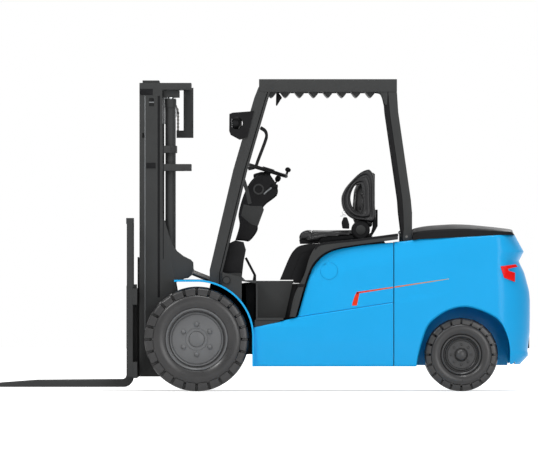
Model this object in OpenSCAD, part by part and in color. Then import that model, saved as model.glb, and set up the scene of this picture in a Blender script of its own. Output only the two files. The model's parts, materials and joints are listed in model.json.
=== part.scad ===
// Electric counterbalance forklift truck with a two-stage mast.
// Lengths run from the front axle towards the rear in the modules, and row() moves
// every piece so that the origin lies under the middle of the whole truck.

/* [Truck] */
// Distance between the front and rear axles
wheelbase = 1800; // [1700:10:2000]
// Front axle to the front face of the forks
fork_face = 480; // [470:1:520]
// Front axle to the rear end of the counterweight
rear_reach = 2270; // [2200:10:2400]
// Width over the body sides
body_w = 1180; // [1150:10:1200]
// Height of the underside of the body
belly_z = 170; // [150:5:185]

/* [Wheels] */
// Outer radius of the drive tyres
drive_r = 355; // [340:1:355]
// Width of the drive tyres
drive_w = 230; // [200:1:230]
// Distance between the middles of the drive tyres
drive_track = 1000; // [1000:5:1030]
// Radius of the rim of a drive wheel
drive_rim_r = 190; // [170:1:200]
// Lugs round a drive tyre
drive_lugs = 24; // [18:2:28]
// Outer radius of the steer tyres
steer_r = 250; // [230:1:250]
// Width of the steer tyres
steer_w = 180; // [150:1:180]
// Distance between the middles of the steer tyres
steer_track = 960; // [940:5:980]
// Radius of the rim of a steer wheel
steer_rim_r = 122; // [110:1:130]
// Lugs round a steer tyre
steer_lugs = 20; // [16:2:24]
// Width of the cut between two lugs
lug_gap = 15; // [10:1:20]
// Distance from the middle of a steer tyre to its kingpin
kingpin_offset = 130; // [125:1:140]
// Radius of the steering arch cut in the counterweight skin
arch_r = 323; // [310:1:330]
// Radius of the wheel well behind the skin
well_r = 358; // [350:1:365]
// Thickness of the skin round the wheel well
skin_t = 65; // [50:1:70]

/* [Mast] */
// Width over the outer mast channels
mast_w = 740; // [700:2:744]
// Depth of the outer channels, front to back
mast_depth = 156; // [150:1:160]
// Distance from the front axle to the back of the outer channels
mast_back = 235; // [230:1:240]
// Height of the top of the outer mast
mast_top = 2101; // [1900:1:2200]
// Height of the bottom of the outer mast
mast_foot = 99; // [90:1:110]
// Thickness of a channel web
channel_web = 18; // [14:1:20]
// Thickness of a channel flange
channel_flange = 16; // [12:1:16]
// Depth of the outer channel from its web inwards
channel_reach = 72; // [60:1:76]
// Clearance between the sliding channels
slide_gap = 5; // [5:0.5:8]
// Outer radius of a lift cylinder
lift_r = 34; // [30:1:36]
// Radius of a lift rod
lift_rod_r = 22; // [18:1:24]
// Distance from the middle plane to each lift cylinder
lift_y = 300; // [285:1:305]

/* [Forks] */
// Length of a fork blade
fork_len = 1070; // [900:10:1200]
// Width of a fork
fork_w = 125; // [100:1:130]
// Thickness of a fork
fork_t = 45; // [40:1:50]
// Distance from the middle plane to each fork
fork_y = 270; // [220:1:350]
// Height of the underside of the blades when lowered
fork_low = 28; // [25:1:40]
// Width of the carriage and the load backrest
carriage_w = 1100; // [1000:10:1150]
// Height of the top of the load backrest
backrest_top = 1180; // [1100:5:1300]

/* [Cab] */
// Height of the top of the overhead guard
guard_top = 2125; // [2100:5:2160]
// Depth of the guard's side rails
guard_rail = 88; // [70:1:100]
// Slats across the guard
guard_slats = 7; // [5:1:7]
// Distance between two slats
slat_pitch = 96.6; // [90:0.1:97]
// Distance from the middle plane to the outside of the guard
guard_half = 520; // [500:5:540]
// Height of the operator's floor
floor_z = 750; // [730:1:760]
// Height of the entry step
step_z = 500; // [490:1:505]
// Radius of the steering wheel rim
hand_wheel_r = 142; // [130:1:145]
// Thickness of the sheet metal covers
sheet_t = 30; // [20:1:34]

/* [Hidden] */

blue = [0.03, 0.46, 0.83];
dark = [0.19, 0.20, 0.20];
black = [0.05, 0.05, 0.055];
grey = [0.42, 0.42, 0.43];
steel = [0.75, 0.75, 0.76];
red = [0.85, 0.05, 0.04];

mid_x = (rear_reach - fork_face - fork_len) / 2;
half_w = body_w / 2;
fit = 0.3;
pin_gap = 0.3;
big = 3000;
fender_r = 388;
fender_t = 13;
fender_c = [3, 371];
head_z = 2004;
head_h = 46;
clamp_z = 1625;
barrel_top = head_z - 10;
gland_t = 30;

// Puts a piece that is laid out from the front axle into the truck's own frame
module row() translate([-mid_x, 0, 0]) children();

// Extrudes an outline drawn in X and Z between two planes across the truck
module across(y0, y1) translate([0, y1, 0]) rotate([90, 0, 0]) linear_extrude(y1 - y0) children();

// A disc across the truck from y0 to y1 round a point in X and Z
module disc(x, z, r, y0, y1, sides = 64) translate([x, y1, z]) rotate([90, 0, 0])
  cylinder(r = r, h = y1 - y0, $fn = sides);

module block(x0, x1, y0, y1, z0, z1) translate([x0, y0, z0]) cube([x1 - x0, y1 - y0, z1 - z0]);

// The same piece on the left and on the right
module both() { children(); mirror([0, 1, 0]) children(); }

// Axles and steering
axle_z = drive_r;
axle_r = 70;
drive_y = drive_track / 2;
drive_in = drive_y - drive_w / 2;
steer_y = steer_track / 2;
kingpin_y = steer_y - kingpin_offset;

// A tyre turned about the Y axis at the origin, with lugs staggered from side to side
module tyre(r, w, bore, lugs, lug_depth, shoulder) {
  crown = 0.958 * r;
  band = w - 2 * shoulder;
  difference() {
    union() {
      rotate([90, 0, 0]) rotate_extrude($fn = 96) polygon([
        [bore, -w / 2 + 14], [bore + 22, -w / 2 + 2], [r - lug_depth, -w / 2 + 6],
        [crown - 4, -w / 2 + shoulder], [r - 4, -band / 2], [r - 4, band / 2],
        [crown - 4, w / 2 - shoulder], [r - lug_depth, w / 2 - 6],
        [bore + 22, w / 2 - 2], [bore, w / 2 - 14]]);
      for (side = [-1, 1])
        translate([0, side > 0 ? w / 2 : -w / 2 + shoulder, 0]) rotate([90, 0, 0])
          rotate(side > 0 ? 0 : 180 / lugs) linear_extrude(shoulder)
            lug_ring(r, r - lug_depth, lugs);
    }
    rotate([90, 0, 0]) cylinder(r = bore, h = w + 2, center = true, $fn = 96);
  }
}

// Outline of a ring of lugs with straight-sided cuts between them
module lug_ring(r, root, lugs) {
  a = 360 / lugs;
  half_out = asin(lug_gap / 2 / r);
  half_in = asin(lug_gap / 2 / root);
  polygon([for (i = [0 : lugs - 1]) each [
    root * [cos(i * a - half_in + 90), sin(i * a - half_in + 90)],
    root * [cos(i * a + half_in + 90), sin(i * a + half_in + 90)],
    r * [cos(i * a + half_out + 90), sin(i * a + half_out + 90)],
    r * [cos(i * a + a / 2 + 90), sin(i * a + a / 2 + 90)],
    r * [cos((i + 1) * a - half_out + 90), sin((i + 1) * a - half_out + 90)]]]);
}

// A pressed disc wheel turned about Y, its face towards -Y, with domed nuts and a hub
module rim(r, w, bore, pcd_r, nuts, nut_r, hub_r, hub_out) {
  disc_y = -w / 2 + disc_set;
  rotate([90, 0, 0]) difference() {
    rotate_extrude($fn = 96) polygon([
      [bore, -disc_y - 16], [bore, -disc_y + 16], [hub_r + 26, -disc_y + 16],
      [r - 40, -disc_y + 4], [r - 26, -disc_y + 8], [r - 20, w / 2 - 16],
      [r - 4, w / 2 - 10], [r - fit, w / 2 - 14], [r - fit, -w / 2 + 14],
      [r - 12, -w / 2 + 12], [r - 16, -disc_y - 16]]);
    cylinder(r = bore, h = w, center = true, $fn = 64);
  }
  for (i = [0 : nuts - 1]) rotate([0, (i + 0.5) * 360 / nuts, 0])
    translate([pcd_r, disc_y - 12, 0]) rotate([90, 0, 0]) cylinder(r = nut_r, h = 14, $fn = 32);
  rotate([90, 0, 0]) rotate_extrude($fn = 64) polygon([
    [0, -disc_y - 20], [bore - fit, -disc_y - 20], [bore - fit, -disc_y + 16],
    [hub_r, -disc_y + 16], [hub_r, -disc_y + hub_out - 8],
    [hub_r - 10, -disc_y + hub_out], [0, -disc_y + hub_out]]);
}

module drive_tyre_left() color(black) row() translate([0, -drive_y, axle_z])
  tyre(drive_r, drive_w, drive_rim_r, drive_lugs, 57, 62);
module drive_tyre_right() color(black) row() mirror([0, 1, 0]) translate([0, -drive_y, axle_z])
  tyre(drive_r, drive_w, drive_rim_r, drive_lugs, 57, 62);
module drive_rim_left() color(grey) row() translate([0, -drive_y, axle_z])
  rim(drive_rim_r, drive_w, 60, 103, 6, 18, 76, 34);
module drive_rim_right() color(grey) row() mirror([0, 1, 0]) translate([0, -drive_y, axle_z])
  rim(drive_rim_r, drive_w, 60, 103, 6, 18, 76, 34);
module steer_tyre_left() color(black) row() translate([wheelbase, -steer_y, steer_r])
  tyre(steer_r, steer_w, steer_rim_r, steer_lugs, 44, 48);
module steer_tyre_right() color(black) row() mirror([0, 1, 0])
  translate([wheelbase, -steer_y, steer_r])
    tyre(steer_r, steer_w, steer_rim_r, steer_lugs, 44, 48);
module steer_rim_left() color(grey) row() translate([wheelbase, -steer_y, steer_r])
  rim(steer_rim_r, steer_w, 36, 66, 8, 9, 46, 30);
module steer_rim_right() color(grey) row() mirror([0, 1, 0])
  translate([wheelbase, -steer_y, steer_r]) rim(steer_rim_r, steer_w, 36, 66, 8, 9, 46, 30);

// Drive axle: a tube with the mast bearings, the motor casing and a hub at each end
motor_r = 130;
rail_in = 170;
rail_out = 220;
drum_r = 105;
disc_set = 52;
hub_set = 72;
hub_y = drive_y + drive_w / 2 - hub_set - fit;
module drive_axle() color(dark) row() {
  disc(0, axle_z, axle_r, -drive_y, drive_y);
  disc(0, axle_z, motor_r, -rail_in + fit, rail_in - fit);
  both() {
    disc(0, axle_z, drum_r, drive_in - 10, hub_y - 12);
    disc(0, axle_z, 54, drive_y - 1, hub_y);
  }
}

// Steer axle: a box beam with forked ends that hold the kingpins
beam_half = 60;
beam_h = 75;
ear_t = 28;
knuckle_half = 44;
kingpin_r = 16;
module steer_axle() color(dark) row() translate([wheelbase, 0, steer_r]) {
  difference() {
    union() {
      block(-beam_half, beam_half, -kingpin_y + 62, kingpin_y - 62, -beam_h, beam_h);
      both() for (s = [-1, 1]) translate([0, kingpin_y, s > 0 ? knuckle_half + fit : -beam_h]) {
        cylinder(r = 38, h = beam_h - knuckle_half - fit, $fn = 48);
        translate([-38, -64, 0]) cube([76, 64, beam_h - knuckle_half - fit]);
      }
    }
    both() translate([0, kingpin_y, 0])
      cylinder(r = kingpin_r + pin_gap, h = 4 * beam_h, center = true, $fn = 48);
  }
  block(-trunnion_half, trunnion_half, -75, 75, beam_h, sqrt(pow(well_r, 2) - pow(trunnion_half, 2)) - 2 * fit);
}
trunnion_half = 45;

// Knuckle: the kingpin with its post and the stub axle that carries the steer wheel
module knuckle() translate([wheelbase, -kingpin_y, steer_r]) {
  cylinder(r = 32, h = 2 * knuckle_half, center = true, $fn = 48);
  cylinder(r = kingpin_r, h = 2 * beam_h - 2, center = true, $fn = 48);
  translate([0, -28, 0]) rotate([90, 0, 0]) cylinder(r = 30, h = stub_len - 28, $fn = 48);
  rotate([90, 0, 0]) cylinder(r = 26, h = 40, $fn = 48);
}
stub_len = kingpin_offset + steer_w / 2 - hub_set - fit;
module knuckle_left() color(dark) row() knuckle();
module knuckle_right() color(dark) row() mirror([0, 1, 0]) knuckle();

// Frame: two front rails that carry the drive axle, a cross wall and the floor pan
body_front = fender_c[0] + fender_r + fit;
gap_x = 1341;
rail_z0 = 250;
rail_z1 = 560;
pan_t = 20;
battery_x0 = 775;
battery_x1 = 1335;
battery_half = 510;
battery_top = 800;
wall_x = 660;
lug_in = 40;
lug_out = 60;
arch_z = 248;
module frame() color(dark) row() {
  difference() {
    both() block(-40, body_front + 10, rail_in, rail_out, rail_z0, rail_z1);
    disc(0, axle_z, axle_r, -big, big);
    both() translate([-60, rail_in - 1, rail_z1 - 110]) rotate([0, -28, 0])
      cube([200, rail_out - rail_in + 2, 200]);
  }
  block(body_front, body_front + 20, -half_w + sheet_t + fit, half_w - sheet_t - fit,
    belly_z, step_z - 30);
  block(body_front + 20, gap_x - fit, -half_w + sheet_t + fit, half_w - sheet_t - fit,
    belly_z, belly_z + pan_t);
  both() {
    for (y = [tilt_y - lug_out, tilt_y + lug_in])
      across(y, y + lug_out - lug_in) polygon([[tilt_anchor_x - 28, step_z - 31],
        [tilt_anchor_x - 24, tilt_anchor_z + 24], [tilt_anchor_x, tilt_anchor_z + 32],
        [tilt_anchor_x + 24, tilt_anchor_z + 24], [tilt_anchor_x + 60, step_z - 31]]);
    disc(tilt_anchor_x, tilt_anchor_z, tilt_pin_r, tilt_y - lug_out, tilt_y + lug_out, 32);
  }
  both() block(body_front + 20, wall_x, rail_in, rail_out, belly_z + pan_t, step_z - 30);
  block(wall_x, wall_x + 20, -battery_half, battery_half, belly_z + pan_t, step_z);
}

// Sills: the lower body sides from the front wall to the counterweight
crease = [[gap_x - 3, 605], [681, 505], [581, 479], [body_front, 435]];
module sill(side) across(side > 0 ? half_w - sheet_t : -half_w, side > 0 ? half_w : -half_w + sheet_t)
  polygon(concat([[body_front, belly_z], [gap_x - 3, belly_z]], crease));
module sill_left() color(blue) row() sill(-1);
module sill_right() color(blue) row() sill(1);

// Side panels: curved doors over the battery, their front edge a long curve
panel_gap = 6;
panel_edge = [[681, 505], [740, 715], [768, 800], [795, 856], [842, 910], [896, 946],
  [959, 969], [1060, 987], [1154, 1000], [1338, 1016]];
module side_panel(side) difference() {
  across(side > 0 ? half_w - sheet_t : -half_w, side > 0 ? half_w : -half_w + sheet_t)
    polygon(concat([[gap_x - 3, 605 + fit], [684, 506 + fit]],
      [for (p = panel_edge) if (p[1] > 520) p + [4, -panel_gap / 2]]));
  disc(900, 821, 60, side > 0 ? half_w - 8 : -half_w - 1, side > 0 ? half_w + 1 : -half_w + 8);
}
module side_panel_left() color(blue) row() side_panel(-1);
module side_panel_right() color(blue) row() side_panel(1);

// Counterweight: the side outline cut by a plan with rounded rear corners
cw_half = half_w + 8;
cw_corner = 230;
cw_side = [[gap_x + 3, belly_z], [1500, belly_z], [2050, 184], [2203, 184], [2260, 246],
  [2252, 273], [rear_reach - 2, 400], [rear_reach, 510], [rear_reach, 622], [2264, 686],
  [2232, 806], [2194, 884], [2228, 950]];
cw_top = [[2166, 1065], [2063, 1064], [1798, 1050], [1656, 1043], [1519, 1037], [1424, 1023],
  [gap_x + 3, 1016]];
tow_z = 330;
module counterweight() color(blue) row() {
  weight_casting();
  both() {
    block(hinge_x - 8, hinge_x + 8, 331, 349, 1010, hinge_z - hinge_pin_r - 3);
    difference() {
      disc(hinge_x, hinge_z, 14, 331, 349, 32);
      disc(hinge_x, hinge_z, hinge_pin_r + pin_gap, 320, 360, 32);
    }
  }
}
module weight_casting() difference() {
  intersection() {
    across(-cw_half, cw_half) polygon(concat(cw_side, cw_top));
    union() {
      block(gap_x, rear_reach - cw_corner, -cw_half, cw_half, 0, 1200);
      block(rear_reach - cw_corner - 1, rear_reach, -cw_half + cw_corner, cw_half - cw_corner,
        0, 1200);
      both() translate([rear_reach - cw_corner, cw_half - cw_corner, 0])
        cylinder(r = cw_corner, h = 1200, $fn = 64);
    }
  }
  disc(wheelbase, steer_r, well_r, -cw_half + skin_t, cw_half - skin_t);
  block(wheelbase - well_r, wheelbase + well_r, -cw_half + skin_t, cw_half - skin_t, 0, steer_r);
  disc(wheelbase, arch_z, arch_r, -big, big);
  block(wheelbase - arch_r, wheelbase + arch_r, -big, big, 0, arch_z);
  block(rear_reach - 150, rear_reach + 10, -60, 60, tow_z - 40, tow_z + 40);
  translate([rear_reach - 70, 0, tow_z - 100]) cylinder(r = 17, h = 300, $fn = 32);
}

module tow_pin() color(steel) row() translate([rear_reach - 70, 0, tow_z - 100])
  cylinder(r = 17 - fit, h = 290, $fn = 32);

// Black cover over the top of the counterweight
cover_x0 = 1470;
module rear_cover() color(black) row() intersection() {
  across(-cw_half + 12, cw_half - 12) polygon(concat([[cover_x0, 1032], [1478, 1106],
    [1560, 1124], [1680, 1134], [1770, 1137], [1900, 1130], [2133, 1104]],
    [for (i = [0 : 4]) cw_top[i] + [0, fit]]));
  union() {
    block(gap_x, rear_reach - cw_corner, -cw_half, cw_half, 0, 1200);
    block(rear_reach - cw_corner - 1, rear_reach, -cw_half + cw_corner, cw_half - cw_corner,
      0, 1200);
    both() translate([rear_reach - cw_corner, cw_half - cw_corner, 0])
      cylinder(r = cw_corner - 12, h = 1200, $fn = 64);
  }
}

module battery() color(grey) row() block(battery_x0, battery_x1, -battery_half, battery_half,
  belly_z + pan_t, battery_top);

// Fenders: a strip bent over each drive tyre with its stay to the frame
module fender_line(r) {
  polygon(concat(
    [[-154, fender_c[1] + r], [-154, fender_c[1] + r - fender_t]],
    [for (a = [0 : 10 : 90]) fender_c + (r - fender_t) * [sin(a), cos(a)]],
    [[fender_c[0] + r - fender_t, belly_z], [fender_c[0] + r, belly_z]],
    [for (a = [90 : -10 : 0]) fender_c + r * [sin(a), cos(a)]]));
}
module fenders() color(blue) row() both()
  across(drive_in - 3, drive_y + drive_w / 2) fender_line(fender_r);

// Floor, its recessed entry steps on both sides and the riser walls
recess_y = 410;
module floor_step() color(dark) row() {
  across(-half_w + 12, half_w - 12) polygon([[306 + fit, 777], [306 + fit, floor_z], [400, floor_z - 14],
    [404, floor_z - 14], [404, floor_z], [404, floor_z + 4], [330, floor_z + 4]]);
  across(-recess_y, recess_y) polygon([[404 + fit, floor_z], [404 + fit, floor_z - 16],
    [660, floor_z - 16], [660, floor_z], [404 + fit, floor_z]]);
  both() {
    across(recess_y - 12, recess_y) polygon([[404 + fit, floor_z - 16], [404 + fit, step_z],
      [600, step_z], [652, floor_z - 16]]);
    across(recess_y, half_w - 4) polygon([[404, step_z - 14], [590, step_z - 14],
      [590, step_z], [404, step_z]]);
    across(recess_y, half_w - 12) polygon([[404, step_z], [404, floor_z - 14], [414, floor_z - 14],
      [414, step_z]]);
    block(404, 590, recess_y - 12, recess_y, step_z - 29, step_z);
  }
}

// Front cowl: the low bulkhead in front of the operator and the cheeks above the fenders
cheek = [[175, 811], [306, 776], [306, 560], [175, 560]];
module front_cowl() color(dark) row() {
  difference() {
    across(-guard_half + rail_t + fit, guard_half - rail_t - fit) polygon([[175, 776], [182, 860],
      [207, 962], [224, 1010], [262, 1028], [318, 1016], [334, 962], [318, 880], [306, 776]]);
    across(-guard_half + rail_t + 30, guard_half - rail_t - 30) polygon([[195, 700], [202, 860],
      [227, 955], [244, 996], [300, 990], [310, 955], [292, 860], [288, 700]]);
    both() block(160, 310, tilt_y - 46, tilt_y + 46, 700, 822);
  }
  both() {
    difference() {
      across(half_w - 70, half_w - 12) polygon(cheek);
      disc(fender_c[0], fender_c[1], fender_r + fit, 0, big, 96);
    }
    disc(203, 757, 26, half_w - 13, half_w - 4, 32);
  }
  difference() {
    block(286, 306, -half_w + 12, half_w - 12, 640, 777);
    both() block(280, 310, tilt_y - 46, tilt_y + 46, 600, floor_z + 18);
  }
}

// Dash console with the steering column at its top
module dash_console() color(dark) row() {
  across(-150, 150) polygon([[262, 1028 + fit], [290, 1130], [284, 1210], [316, 1330], [363, 1425],
    [410, 1470], [500, 1478], [546, 1400], [546, 1336], [472, 1275], [445, 1235], [418, 1150],
    [411, 1090], [360, 1020], [335, 962 + 58], [318 + 2, 1016 + 8]]);
  translate([471, 0, 1458]) rotate([0, 17, 0]) cylinder(r = 24, h = 45 - fit, $fn = 48);
}

// Steering wheel with its spokes, hub and turning knob
wheel_c = [471 + 48 * sin(17), 0, 1458 + 48 * cos(17)];
module steering_wheel() color(black) row() translate(wheel_c) rotate([0, 17, 0]) {
  rotate_extrude($fn = 64) translate([hand_wheel_r - 13, 0]) circle(r = 13, $fn = 24);
  translate([0, 0, -3]) cylinder(r = 42, h = 22, $fn = 48);
  for (a = [0, 120, 240]) rotate(a) translate([36, -14, -2]) cube([hand_wheel_r - 58, 28, 12]);
  translate([hand_wheel_r - 13, 0, 10]) cylinder(r = 8, h = 26, $fn = 24);
  translate([hand_wheel_r - 13, 0, 30]) rotate_extrude($fn = 32)
    polygon([[0, 0], [14, 2], [21, 14], [17, 26], [8, 32], [0, 33]]);
}

module pedals() color(dark) row() for (y = [-170, 60, 230])
  across(y - 40, y + 40) polygon([[326, 905], [340, 912], [404, 790], [404, floor_z + 4 + fit],
    [380, floor_z + 4 + fit], [386, 790]]);

module levers() color(black) row() {
  across(150 + fit, 300) polygon([[470, 1320], [546, 1330], [546, 1360], [470, 1350]]);
  for (y = [175, 215, 255]) translate([500, y, 1350]) rotate([0, 28, 0]) {
    cylinder(r = 6, h = 95, $fn = 24);
    translate([0, 0, 92]) rotate_extrude($fn = 32)
      polygon([[0, 0], [12, 0], [20, 16], [18, 34], [9, 44], [0, 45]]);
  }
}

// Overhead guard: side rails, headers and the slats, with the pillars apart
rail_x0 = 424;
rail_x1 = 1363;
rail_t = 50;
slat_x0 = 603;
module guard_roof() color(dark) row() {
  both() across(guard_half - rail_t, guard_half) polygon([[rail_x0, guard_top - 45],
    [rail_x0 + 20, guard_top - 8], [rail_x0 + 60, guard_top], [rail_x1 - 60, guard_top],
    [rail_x1 - 10, guard_top - 12], [rail_x1, guard_top - guard_rail],
    [rail_x0 + 6, guard_top - guard_rail]]);
  across(-guard_half + rail_t, guard_half - rail_t) polygon([[rail_x0, guard_top - 45],
    [rail_x0 + 20, guard_top - 8], [rail_x0 + 60, guard_top], [rail_x0 + 70, guard_top],
    [rail_x0 + 70, guard_top - guard_rail], [rail_x0 + 6, guard_top - guard_rail]]);
  across(-guard_half + rail_t, guard_half - rail_t) polygon([[rail_x1 - 70, guard_top],
    [rail_x1 - 60, guard_top], [rail_x1 - 10, guard_top - 12], [rail_x1, guard_top - guard_rail],
    [rail_x1 - 70, guard_top - guard_rail]]);
  for (i = [0 : guard_slats - 1]) translate([slat_x0 + i * slat_pitch, 0, 0])
    across(-guard_half + rail_t, guard_half - rail_t) polygon([[-46, guard_top - guard_rail],
      [-30, guard_top - guard_rail + 30], [-18, guard_top - guard_rail + 30],
      [4, guard_top - guard_rail - 30], [-4, guard_top - guard_rail - 34]]);
}

module front_pillars() color(dark) row() both() difference() {
  across(guard_half - rail_t, guard_half) polygon([[rail_x0 + 6, guard_top - guard_rail - fit],
    [rail_x0 + 100, guard_top - guard_rail - fit], [394 + 92, 1996], [248 + 95, 1506],
    [175 - fit, 811], [175 - fit, 700], [88, 700], [88, 826], [248, 1506], [394, 1996]]);
  disc(fender_c[0], fender_c[1], fender_r + fit, 0, big, 96);
}

module rear_pillars() color(dark) row() both() across(guard_half - rail_t, guard_half)
  polygon([[rail_x1 - 90, guard_top - guard_rail - fit], [rail_x1, guard_top - guard_rail - fit],
    [1372, 1900], [1458, 1302], [1466, 1215], [1466, 1030], [1424, 1023 + fit],
    [1400, 1021 + fit], [1376, 1215], [1370, 1302], [1284, 1900]]);

module grab_handle() color(black) row() both() {
  path = [[438.7, 1797], [469, 1773], [476, 1744], [418, 1546], [392, 1523], [357, 1517]];
  for (i = [0 : len(path) - 2]) hull() for (p = [path[i], path[i + 1]])
    translate([p[0], guard_half - rail_t / 2, p[1]]) sphere(r = 10, $fn = 12);
}

lamp_x = 271;
lamp_z = 1826;
module head_lamps() color(black) row() both() {
  across(guard_half + fit, guard_half + 8) difference() {
    polygon([[222, 1888], [245, 1897], [390, 1908], [380, 1876], [345, 1731], [290, 1718],
      [229, 1751], [221, 1771]]);
    translate([lamp_x, lamp_z]) circle(r = 42, $fn = 48);
  }
  translate([lamp_x - 30, guard_half - 52, lamp_z]) rotate([0, 90, 0]) rotate_extrude($fn = 48)
    polygon([[0, 0], [48, 0], [48, 14], [42, 44], [20, 60], [0, 62]]);
  block(lamp_x - 30, lamp_x + 20, guard_half - 30, guard_half + 8, lamp_z - 66, lamp_z - 54);
  block(lamp_x - 6, lamp_x + 6, guard_half - 60, guard_half - 30, lamp_z - 66, lamp_z - 40);
}

module tail_lamps() color(red) row() both() intersection() {
  across(cw_half - 200, cw_half + 3) polygon([[2067, 851], [2170, 865], [2186, 847], [2116, 833],
    [2128, 818], [2166, 808], [2164, 744], [2091, 772]]);
  difference() {
    translate([rear_reach - cw_corner, cw_half - cw_corner, 0])
      cylinder(r = cw_corner + 6, h = 1200, $fn = 64);
    translate([rear_reach - cw_corner, cw_half - cw_corner, -1])
      cylinder(r = cw_corner + fit, h = 1300, $fn = 64);
  }
}

// Battery hood: a folded shell that carries the seat and swings up about its rear edge.
// Its sides reach down into the step recess, and its middle ends above the floor.
hinge_x = 1392;
hinge_z = 1080;
hinge_pin_r = 8;
hood_top = [[842, 1008], [950, 1024], [1076, 1036], [1220, 1054], [1369, 1074]];
hood_side = [[631, 506 + fit], [667, 660], [732, 794], [764, 903], [802, 973]];
hood_front = [[567, floor_z + 8], [631, 910], [669, 966], [701, 989], [760, 1002]];
hood_under = [[1369, 1034], [1154, 1006], [1060, 993], [959, 976], [892, 953]];
hood_under_side = [[836, 917], [788, 862], [760, 802], [732, 716], [674, 506 + fit]];
hood_under_front = [[740, 940], [700, 905], [640, floor_z + 8]];
module battery_hood() color(dark) row() {
  both() across(recess_y + 8, half_w) polygon(concat(hood_side, hood_top, hood_under,
    hood_under_side));
  across(-recess_y - 8, recess_y + 8) polygon(concat(hood_front, hood_top, hood_under,
    hood_under_front));
  both() for (y = [300, 350]) {
    disc(hinge_x, hinge_z, 14, y + fit, y + 30, 32);
    across(y + fit, y + 30) polygon([[1360, 1072], [1360, 1046], [hinge_x, hinge_z - 14],
      [hinge_x, hinge_z + 14]]);
  }
  both() disc(hinge_x, hinge_z, hinge_pin_r, 300, 380, 32);
}

// Seat: a base with a back shell, the cushion, the back and the side wings
seat_half = 235;
seat_back_x = 1200;
module seat_base() color(black) row() {
  across(-190, 190) polygon([[842, 1008 + fit], [846, 1034], [1150, 1060], [1190, 1080],
    [seat_back_x + fit, 1120], [seat_back_x + fit, 1490], [1215, 1480], [1215, 1237],
    [1234, 1237], [1234, 1125], [1215, 1090], [1190, 1050 + fit], [1076, 1036 + fit],
    [950, 1024 + fit]]);
  both() disc(1118, 1098, 55, seat_half + fit, seat_half + 16, 48);
  block(1100, 1136, -seat_half - 10, seat_half + 10, 1044, 1058);
  both() block(seat_back_x + fit, 1214, 189, 214, 1230, 1420);
}

module seat_cushion() color(black) row()
  across(-seat_half, seat_half) polygon([[690, 1022 + fit], [686, 1050], [700, 1084], [740, 1100],
    [860, 1096], [1040, 1098], [1074, 1100], [1100, 1086], [1100, 1061], [860, 1041],
    [846, 1036], [838, 1012], [762, 1006]]);

module seat_back() color(black) row()
  across(-210, 210) polygon([[1080, 1110], [1062, 1150], [1110, 1370], [1140, 1490], [1165, 1512],
    [1190, 1508], [seat_back_x, 1480], [seat_back_x, 1122], [1180, 1104]]);

module seat_wings() color(black) row() both() across(214, 262) difference() {
  polygon([[1165, 1513], [1108, 1484], [1030, 1405], [996, 1349], [986, 1304], [996, 1248],
    [1030, 1198], [1081, 1168], [1214, 1160], [1214, 1440], [1182, 1500]]);
  polygon([[1060, 1400], [1030, 1340], [1026, 1300], [1040, 1250], [1090, 1224], [1130, 1222],
    [1130, 1404], [1100, 1408]]);
}

// Mast channels
mast_half = mast_w / 2;
mast_front = mast_back + mast_depth;
inner_half = mast_half - channel_web - slide_gap;
inner_back = mast_back + channel_flange + slide_gap;
inner_front = mast_front - channel_flange - slide_gap;
inner_flange = 14;
inner_reach = 60;
inner_top = 2118;
inner_reach_y = mast_half - channel_reach - 6;
bear_t = 24;
tilt_y = 320;
tilt_pin_r = 16;
tilt_eye_x = -52;
tilt_eye_z = 817;
tilt_anchor_x = 420;
tilt_anchor_z = 628;
lift_x = -181;

// A channel open towards the middle plane
module channel(x0, x1, half, web, flange, reach, z0, z1) {
  block(x0, x1, half - web, half, z0, z1);
  block(x0, x0 + flange, half - reach, half, z0, z1);
  block(x1 - flange, x1, half - reach, half, z0, z1);
}

// Side plate of the mast that holds the axle bearing and the tilt cylinder's pin
gusset = [[-236, 1164], [-218, 1164], [-191, 1068], [-165, 999], [-139, 955], [-96, 921],
  [-44, 895], [-27, 877], [-25, 830], [-39, 786], [-143, 740], [-110, 560], [-20, 470],
  [95, 400], [95, 310], [40, 262], [-60, 250], [-236, 230]];
arm_t = 25;
bow_x = -38;
wheel_y0 = 60;
wheel_y1 = 84;

// A tie between the outer channels, bowed back so that the inner mast passes in front
module bowed_tie(z, depth, h) {
  both() block(-mast_back - 1, bow_x, mast_half - arm_t, mast_half, z, z + h);
  block(bow_x - depth, bow_x, -mast_half, mast_half, z, z + h);
}

module outer_mast() color(dark) row() difference() {
  union() {
    both() {
      channel(-mast_front, -mast_back, mast_half, channel_web, channel_flange,
        channel_reach, mast_foot, mast_top);
      across(mast_half - bear_t, mast_half) polygon(gusset);
      across(tilt_y - 44, tilt_y - 24) polygon([[-142, 900], [-96, 900], [-30, 860],
        [-25, 800], [-60, 770], [-142, 760]]);
      block(-142, -126, tilt_y - 44, mast_half, 760, 900);
      disc(tilt_eye_x, tilt_eye_z, tilt_pin_r, tilt_y - 44, mast_half, 32);
      block(-mast_back - 1, lift_x, lift_y - 20, mast_half, clamp_z, clamp_z + 48);
      translate([lift_x, lift_y, clamp_z]) cylinder(r = lift_r + 10, h = 48, $fn = 48);
      block(-mast_back - slide_gap - channel_flange + fit, -mast_back - channel_flange + 1,
        mast_half - channel_reach, mast_half - channel_web, mast_top - 140, mast_top - 20);
      across(wheel_y0, wheel_y1) polygon([[-92, mast_top - 46], [-25, mast_top - 30], [-25, 1728],
        [-140, 1728], [-140, 1778], [-92, 1778]]);
    }
    bowed_tie(mast_top - 46, 72, 46);
    bowed_tie(1502, 52, 46);
    block(-mast_back - 1, -mast_back + 84, -mast_half, mast_half, mast_foot, mast_foot + 40);
    block(-mast_back - 1, -mast_back + 15, -mast_half, mast_half, 560, 700);
  }
  disc(0, axle_z, axle_r + pin_gap, -big, big);
  both() translate([lift_x, lift_y, clamp_z - 10]) cylinder(r = lift_r + fit, h = 80, $fn = 48);
}

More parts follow.
